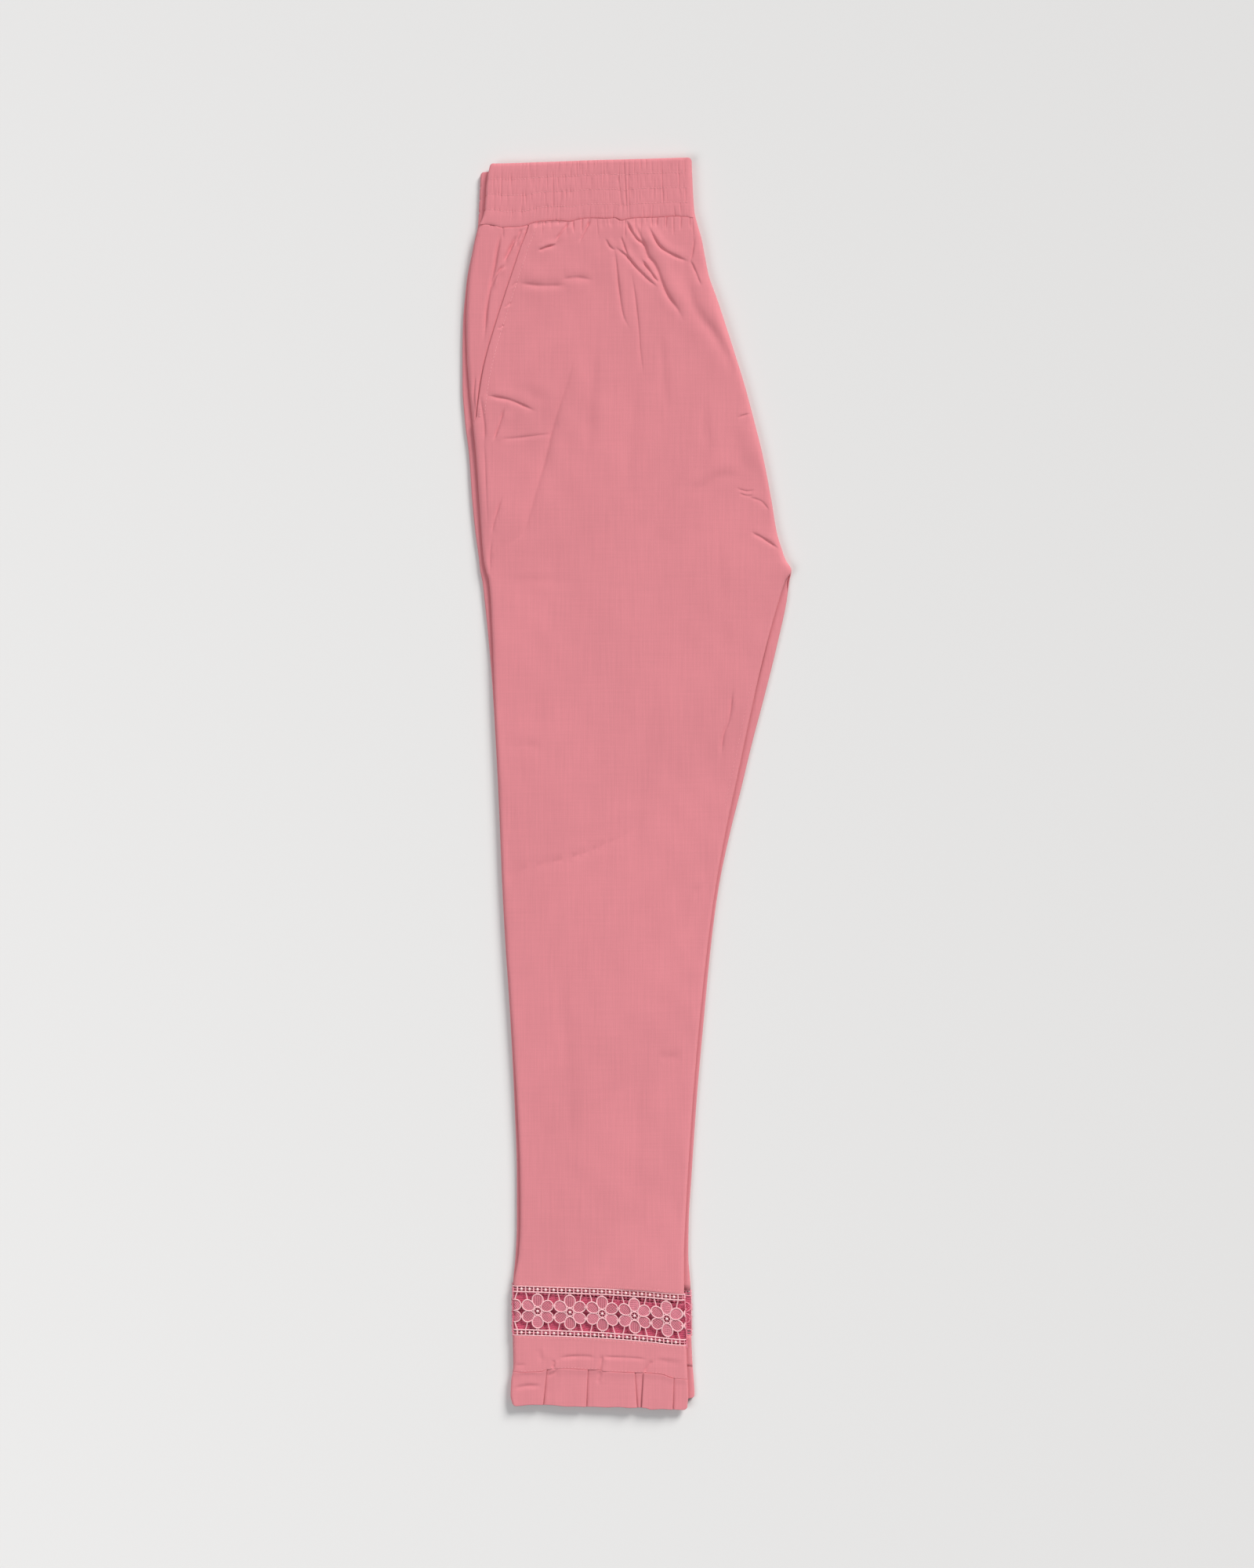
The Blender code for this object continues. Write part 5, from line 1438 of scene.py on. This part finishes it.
def ladder(width, half_height, first_flower, up):
    """Cords, thin threads and beads of one ladder."""
    outer, inner = up * (half_height - RAIL_IN), up * (half_height - LADDER_HEIGHT)
    middle = (outer + inner) / 2
    steps = np.linspace(-OVERRUN, width + OVERRUN, 80)
    cords = [Thread(radius, False, [(a, rail + WOBBLE * math.sin(a * 2.1), 0.6) for a in steps])
             for rail, radius in ((outer, OUTER_RAIL), (inner, INNER_RAIL))]
    thin = [Thread(THIN_BAR, False, [(a, middle, 0.45) for a in steps])]
    beads = []
    for k in range(-1, int(width / CELL) + 3):
        a = k * CELL + first_flower % CELL
        post = a - CELL / 2
        cords.append(Thread(POST, False, [(post, outer, 0.5), (post, inner, 0.5)]))
        thin.append(Thread(THIN_POST, False, [(a, outer, 0.45), (a, inner, 0.45)]))
        if BEAD_MARGIN < a < width - BEAD_MARGIN:
            beads.append((a, middle, 0.75))
    return cords, thin, beads


def flat_lace(width, half_height, first_flower, seen):
    """Everything in one flat lace: its cords, its fillings, and its beads."""
    cords, fills, beads = (upper + lower for upper, lower in zip(
        *(ladder(width, half_height, first_flower, up) for up in (1, -1))))
    inner = half_height - LADDER_HEIGHT
    # painted shade: extra floating threads across a hidden layer, in its darker colour, fill the
    # shade between the layers
    if not seen:
        steps = np.linspace(-OVERRUN, width + OVERRUN, 50)
        fills += [Thread(FILL, False, [(a, t, 0.1) for a in steps])
                  for t in np.arange(-inner + FLOAT_PITCH, inner, FLOAT_PITCH)]
    ends = np.linspace(0.2 - half_height, half_height - 0.2, 30)
    cords += [Thread(POST, False, [(a, t, 0.45) for t in ends])
              for a in (EDGE_CORD_IN, width - EDGE_CORD_IN)]
    flower = first_flower - REPEAT * math.ceil(first_flower / REPEAT)
    number = 0
    while flower < width + REPEAT / 2:
        for petal in range(PETALS):
            angle = math.radians(90 + 60 * petal)
            crossed = (petal + 2 * number) % 5 in (0, 3) or not seen
            cords.append(petal_cord(flower, angle, 0.5 + 0.32 * (petal % 2)))
            fills += petal_filling(flower, angle, crossed)
        cords += [flower_ring(flower)] + connecting_bars(flower, inner)
        fills += ring_spokes(flower)
        if BEAD_MARGIN < flower < width - BEAD_MARGIN:
            beads.append((flower, 0.0, 0.9))
        flower += REPEAT
        number += 1
    return cords, fills, beads


print("a ladder has a bead every", round(CELL, 1), "mm")


# %% [markdown]
# The lace is worked flat, turned into a mesh and cut to width. Then it is laid over the leg, with
# the same turned edges as the cloth. Each lace is two pieces: its cords, and the fillings and
# beads that they carry. The beads are small spheres, made with bmesh.

# %% From flat threads to a mesh
def threads_to_mesh(threads, roundness):
    """A mesh of round threads, from splines with a bevel."""
    curve = bpy.data.curves.new("threads", "CURVE")
    curve.dimensions = "3D"
    curve.bevel_depth = 1.0
    curve.bevel_resolution = roundness
    curve.use_fill_caps = True
    for item in threads:
        spline = curve.splines.new("POLY")
        spline.points.add(len(item.points) - 1)
        spline.use_cyclic_u = item.closed
        for point, place in zip(spline.points, item.points):
            point.co = (*place, 1.0)
            point.radius = item.radius
    holder = bpy.data.objects.new("threads", curve)
    mesh = bpy.data.meshes.new_from_object(holder)
    bpy.data.objects.remove(holder)
    bpy.data.curves.remove(curve)
    return mesh


def bead_mesh(beads, radius):
    builder = bmesh.new()
    for place in beads:
        at = Matrix.Translation(place) @ Matrix.Diagonal((1.0, 1.0, 0.75, 1.0))
        bmesh.ops.create_uvsphere(builder, u_segments=8, v_segments=6, radius=radius, matrix=at)
    mesh = bpy.data.meshes.new("beads")
    builder.to_mesh(mesh)
    builder.free()
    return mesh


# %% The four laces
BEAD = 1.1
CURL_ARC = 3.7
LaceRow = namedtuple("LaceRow", "name leg top foot first_flower seen on_stack level rise drop")
LACES = [
    LaceRow("right_lace", "over", OVER_LACE_TOP, OVER_LACE_FOOT, FIRST_FLOWER,
            True, True, -0.9, 1, -1.0),
    LaceRow("right_back_lace", "over", BACK_LACE_TOP, BACK_LACE_FOOT, FIRST_FLOWER - 12.2,
            False, True, -BACK_LEVEL - 0.7, -1, 1.0),
    LaceRow("left_back_lace", "under", UNDER_LACE_TOP, UNDER_LACE_FOOT, FIRST_FLOWER + 6.5,
            False, False, BACK_LEVEL + 0.2, 1, -0.6),
    LaceRow("left_lace", "under", UNDER_LACE_TOP, UNDER_LACE_FOOT, FIRST_FLOWER + 19.0,
            True, False, 1.15, -1, 0.5),
]
print("laces:", [lace.name for lace in LACES])


# %% Wrap a flat lace over the leg
def wrap(flat, lace, flat_width, half_height):
    """Moves points of a flat lace to where they lie on the leg.

    A lace rests on the stack or near the floor, at its level. rise is which way its threads
    stand up, and drop is how much it turns down at its edges."""
    a, t, h = flat[:, 0], flat[:, 1], flat[:, 2]
    down_at = rows_between(lace.top, lace.foot, 0.5 - t / (2 * half_height))
    left, right = leg_left(lace.leg, down_at(0.0)), leg_right(lace.leg, down_at(1.0))
    from_edge = np.minimum(a, flat_width - a)
    angle = np.clip(from_edge / CURL_ARC, 0.0, 1.0) * QUARTER
    inset = SEAM_REACH * (1 - np.cos(angle))
    flat_part = share_of(a, CURL_ARC, flat_width - CURL_ARC)
    x = mix(left + SEAM_REACH, right - SEAM_REACH, flat_part)
    x = np.where(a < CURL_ARC, left + inset, np.where(a > flat_width - CURL_ARC, right - inset, x))
    across = share_of(x, left, right)
    down = down_at(across)
    x = x - np.where(a < flat_width / 2, 1.0, -1.0) * h * np.cos(angle)
    z = (lace.on_stack * stack_top(down, across) + lace.level
         + lace.drop * SEAM_DEPTH * (1 - np.sin(angle)) + lace.rise * h * np.sin(angle))
    return np.stack([x, LENGTH / 2 - down, z], axis=1)


def lay_threads(name, parts, lace, materials, flat_width, half_height):
    """Joins some parts of a flat lace, cuts them to width and lays them over the leg."""
    builder = bmesh.new()
    for index, part in enumerate(parts):
        first = len(builder.faces)
        builder.from_mesh(part)
        bpy.data.meshes.remove(part)
        builder.faces.ensure_lookup_table()
        for face in builder.faces[first:]:
            face.material_index = index
    for at, outwards in ((0.0, -1), (flat_width, 1)):
        whole = builder.verts[:] + builder.edges[:] + builder.faces[:]
        bmesh.ops.bisect_plane(builder, geom=whole, plane_co=(at, 0, 0),
                               plane_no=(outwards, 0, 0), clear_outer=True)
    flat = np.array([vertex.co for vertex in builder.verts])
    for vertex, place in zip(builder.verts, wrap(flat, lace, flat_width, half_height)):
        vertex.co = place
    if lace.rise < 0:
        bmesh.ops.reverse_faces(builder, faces=builder.faces)
    print(name, "has", len(builder.faces), "faces")
    piece = finish_piece(name, builder, materials[0])
    for material in materials[1:]:
        piece.data.materials.append(material)
    return piece


# %% Lay the laces
laid = {}
for lace in LACES:
    middle = (lace.top.middle + lace.foot.middle) / 2
    width = float(leg_right(lace.leg, middle) - leg_left(lace.leg, middle))
    size = (width + 2 * (CURL_ARC - SEAM_REACH), (lace.foot.middle - lace.top.middle) / 2)
    cords, fills, beads = flat_lace(*size, lace.first_flower, lace.seen)
    # laces seen only through another get the darker painted-shade threads and beads; the others
    # get the bead with its painted highlight
    cord, filling, bead = (LACE_CORD, LACE_FILL, BEAD_WITH_PAINTED_HIGHLIGHT) if lace.seen else (
        SHADE_PAINTED_CORD, SHADE_PAINTED_FILL, SHADE_PAINTED_CORD)
    roundness = 1 if lace.name == "right_lace" else 0
    laid[lace.name] = (
        lace,
        lay_threads(lace.name + "_cords", [threads_to_mesh(cords, roundness)],
                    lace, [cord], *size),
        lay_threads(lace.name + "_fillings", [threads_to_mesh(fills, 0), bead_mesh(beads, BEAD)],
                    lace, [filling, bead], *size))
for side in ("right", "left"):
    for piece in laid[side + "_lace"][1:]:
        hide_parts("lace_front_" + side)


# %% [markdown]
# Stitching
#
# A line of machine stitches is one small shape repeated hundreds of times. The shape is a sphere
# of few faces, drawn out along the seam and pressed half into the cloth. All the stitches of a
# seam are one joined mesh.

# %% The stitch maker
def stitch_line(places, pitch):
    """Evenly spaced stitches along a line of (x, down, z) points: their middles and ways."""
    places = np.array(places, float)
    steps = np.linalg.norm(np.diff(places, axis=0), axis=1)
    travelled = np.concatenate([[0.0], np.cumsum(steps)])
    count = max(1, int(travelled[-1] / pitch))
    starts = (np.arange(count) + 0.5) / count * travelled[-1]

    def at(distance):
        return np.stack([np.interp(distance, travelled, places[:, k]) for k in range(3)], axis=1)

    return at(starts), at(starts + pitch / 3) - at(starts - pitch / 3)


def sew(name, lines, pitch, length, radius):
    """Joins the stitches of several lines into one piece."""
    template = bmesh.new()
    bmesh.ops.create_uvsphere(template, u_segments=6, v_segments=5, radius=1.0)
    bmesh.ops.rotate(template, verts=template.verts, matrix=Matrix.Rotation(QUARTER, 3, "Y"))
    bmesh.ops.scale(template, vec=(length / 2, radius, radius), verts=template.verts)
    shape = bpy.data.meshes.new("stitch")
    template.to_mesh(shape)
    template.free()
    builder = bmesh.new()
    for line in lines:
        for middle, way in zip(*stitch_line(line, pitch)):
            first = len(builder.verts)
            builder.from_mesh(shape)
            builder.verts.ensure_lookup_table()
            along_line = Vector((way[0], -way[1], way[2])).normalized()
            turned = along_line.to_track_quat("X", "Z").to_matrix().to_4x4()
            place = Matrix.Translation((middle[0], LENGTH / 2 - middle[1], middle[2]))
            bmesh.ops.transform(builder, matrix=place @ turned, verts=builder.verts[first:])
    bpy.data.meshes.remove(shape)
    print(name, "has", len(builder.faces), "faces")
    return finish_piece(name, builder, SEWING)


# %% [markdown]
# Three rows of stitching cross the waistband, above and below. They follow its gathered surface,
# so they dip into the valleys, where most of each stitch disappears between the gathers.

# %% Sew the waistband
ROW_START, ROW_END = 2.5, 4.5


def band_row(row, on_top):
    share = (row + 1) / CHANNELS
    left = leg_left("over", band_down(share, 0.0)) + ROW_START
    right = leg_right("over", band_down(share, 1.0)) - ROW_END
    x = np.linspace(left, right, 600)
    down = band_down(share, share_across(x, band_down(share, 0.5)),
                     WAIST_LINE if on_top else WAIST_SEAM)
    if on_top:
        z = band_surface(x, down, share) + 0.08
    else:
        z = 0.1 - HIDDEN_SHARE * valley_height(BAND_GATHERS, x, down)
    return np.stack([x, down, z], axis=1)


band_stitches = sew("waistband_stitches", [band_row(row, on_top) for row in range(STITCH_ROWS)
                                           for on_top in (True, False)],
                    pitch=2.4, length=1.7, radius=0.2)


# %% [markdown]
# The pocket mouth has one row of topstitching with a bar of close stitches at its foot. A short
# stretch of the inseam's stitching shows below the crotch.

# %% Sew the pocket and the inseam
def on_front(x, down):
    """Height of the right front's surface at any place."""
    left, right = front_left_edge("over")(down), leg_right("over", down)
    return stack_top(down, share_across(x, down)) + front_lift(x, down, left, right)


def line_on_front(x, down):
    return np.stack([x, down, on_front(x, down) + 0.06], axis=1)


BAR_LENGTH, BAR_PITCH = 7.0, 0.9
INSEAM_IN, INSEAM_SHOWS = 4.5, (405.0, 500.0)
downs = np.linspace(53.0, POCKET_FOOT - 2, 300)
pocket_rows = [line_on_front(mouth_x(downs) + TOPSTITCH_OFFSET, downs)]
for height in np.arange(POCKET_FOOT - BAR_LENGTH, POCKET_FOOT, BAR_PITCH):
    bar = np.linspace(0.8, 3.6, 3) + mouth_x(height)
    pocket_rows.append(line_on_front(bar, np.full(3, height)))
pocket_stitches = sew("pocket_stitches", pocket_rows, pitch=2.7, length=2.0, radius=0.2)

downs = np.linspace(*INSEAM_SHOWS, 100)
inseam_line = line_on_front(leg_right("over", downs) - INSEAM_IN, downs)
inseam_stitches = sew("inseam_stitches", [inseam_line], pitch=3.0, length=1.2, radius=0.16)


# %% [markdown]
# The edges of the lace are sewn down with a narrow zigzag, and the ruffle with a straight row.

# %% Sew the lace edges and the ruffle seam
ZIGZAG_PITCH, LEG_AT_LACE = 1.5, 133.0


def on_seam(seam, share, offset):
    """x and down of a place that lies some way above or below a seam of the over leg."""
    down = seam_down(seam, share) + offset
    return mix(leg_left("over", down), leg_right("over", down), share), down


def zigzag(seam, near, far, surface):
    """Short stitches that cross a seam's edge, each leaning a little."""
    lines = []
    for k, share in enumerate(np.arange(0.02, 0.98, ZIGZAG_PITCH / LEG_AT_LACE)):
        ends = []
        for offset, lean in ((near, 0.0), (far, 0.5 if k % 2 else -0.3)):
            x, down = on_seam(seam, share, offset)
            height = surface(np.array([x + lean]), np.array([down]))[0] + 0.04
            ends.append((x + lean, down, height))
        lines.append(ends)
    return lines


def on_cuff(x, down):
    return stack_top(down, share_across(x, down))


lace_zigzag = sew("lace_edge_stitches", zigzag(OVER_LACE_TOP, -0.2, -2.9, on_front)
                  + zigzag(OVER_LACE_FOOT, 0.2, 2.1, on_cuff),
                  pitch=9.0, length=2.3, radius=0.15)
across = np.linspace(0.04, 0.96, 300)
x, down = on_seam(RUFFLE_LINE, across, -1.1)
ruffle_row = np.stack([x, down, stack_top(down, across) - 0.02], axis=1)
ruffle_stitches = sew("ruffle_stitches", [ruffle_row], pitch=2.6, length=1.6, radius=0.16)


# %% [markdown]
# The width of each cloth
#
# For the fronts, backs, cuffs and laces, the leg's width is read at rows from the piece's top
# seam to its foot seam, with what is turned in at the seams. The widths are not used further.

TURNED_IN = 3.0


def declare(piece, leg, top_seam, foot_seam, rests_on, *with_pieces):
    top, foot = top_seam.middle, foot_seam.middle
    down = np.linspace(top, foot, 200)
    widths = leg_right(leg, down) - leg_left(leg, down) + TURNED_IN


declare(right_front, "over", WAIST_SEAM, OVER_LACE_TOP, "right_back_cloth",
        pocket_stitches, inseam_stitches)
declare(left_front, "under", WAIST_SEAM, UNDER_LACE_TOP, "floor")
declare(right_back, "over", WAIST_SEAM, BACK_LACE_TOP, "left_back_cloth")
declare(left_back, "under", WAIST_SEAM, UNDER_LACE_TOP, "left_front_cloth")
declare(right_back_cuff, "over", BACK_LACE_FOOT, OVER_RUFFLE_SEAM, "left_back_cuff_cloth")
declare(left_back_cuff, "under", UNDER_LACE_FOOT, UNDER_RUFFLE_SEAM, "left_cuff_cloth")
declare(right_cuff, "over", OVER_LACE_FOOT, OVER_RUFFLE_SEAM, "right_back_cuff_cloth",
        lace_zigzag, ruffle_stitches)
declare(left_cuff, "under", UNDER_LACE_FOOT, UNDER_RUFFLE_SEAM, "floor")
for name, below in (("right_lace", "right_back_lace_cords"), ("left_lace", "floor"),
                    ("right_back_lace", "left_back_lace_cords"),
                    ("left_back_lace", "left_lace_cords")):
    lace, cords, fillings = laid[name]
    declare(cords, lace.leg, lace.top, lace.foot, below, fillings)


# %% [markdown]
# Floor, lights and camera
#
# The garment lies on a plain pale floor. A broad sun from the photo's top right, rather low,
# gives the creases their shading, a large soft light from the left fills the shadows, and so
# does the pale surrounding. The camera hangs three metres straight above the middle of the
# garment, with a lens that frames it as the photograph does.

# %% Floor
FLOOR_REACH, FLOOR_BELOW = 3.0, 0.1 * MM
builder = bmesh.new()
bmesh.ops.create_grid(builder, x_segments=1, y_segments=1, size=FLOOR_REACH)
bmesh.ops.translate(builder, verts=builder.verts, vec=(0.0, 0.0, -FLOOR_BELOW))
floor_mesh = bpy.data.meshes.new("floor")
builder.to_mesh(floor_mesh)
builder.free()
paper = bpy.data.materials.new("pale_floor")
paper.use_nodes = True
paper_shader = paper.node_tree.nodes["Principled BSDF"]
paper_shader.inputs["Base Color"].default_value = (0.80, 0.795, 0.785, 1.0)
paper_shader.inputs["Roughness"].default_value = 0.9
floor_mesh.materials.append(paper)
floor = add_object("floor", floor_mesh)
print("floor", [round(side, 1) for side in floor.dimensions], "m")

# %% Lights and camera
CAMERA_HEIGHT = 3.0
FRAME_HEIGHT = 1.2108
SENSOR = 36.0


def add_lamp(light, power, colour, place, aim):
    light.energy = power
    light.color = colour
    lamp = add_object(light.name, light)
    lamp.location = place
    lamp.rotation_mode = "QUATERNION"
    lamp.rotation_quaternion = Vector(aim).to_track_quat("-Z", "Y")


key = bpy.data.lights.new("key_light", "SUN")
key.angle = math.radians(24.0)
add_lamp(key, power=3.2, colour=(1.0, 0.985, 0.97), place=(0.0, 0.0, 0.0),
         aim=(-0.5, -0.72, -0.5))
fill = bpy.data.lights.new("fill_light", "AREA")
fill.shape = "SQUARE"
fill.size = 2.4
add_lamp(fill, power=70.0, colour=(0.97, 0.985, 1.0), place=(-3.0, -1.2, 3.4),
         aim=(3.0, 1.2, -3.4))
world = bpy.data.worlds.new("studio")
world.use_nodes = True
background = world.node_tree.nodes["Background"]
background.inputs["Color"].default_value = (0.96, 0.97, 1.0, 1.0)
background.inputs["Strength"].default_value = 0.29

lens = bpy.data.cameras.new("camera")
lens.sensor_fit = "AUTO"
lens.sensor_width = SENSOR
lens.lens = SENSOR * CAMERA_HEIGHT / FRAME_HEIGHT
camera = add_object("camera", lens)
camera.location = (0.0, 0.0, CAMERA_HEIGHT)
scene = bpy.context.scene
scene.world = world
scene.camera = camera
scene.view_settings.view_transform = "Standard"
print("lens", round(lens.lens, 1), "mm")
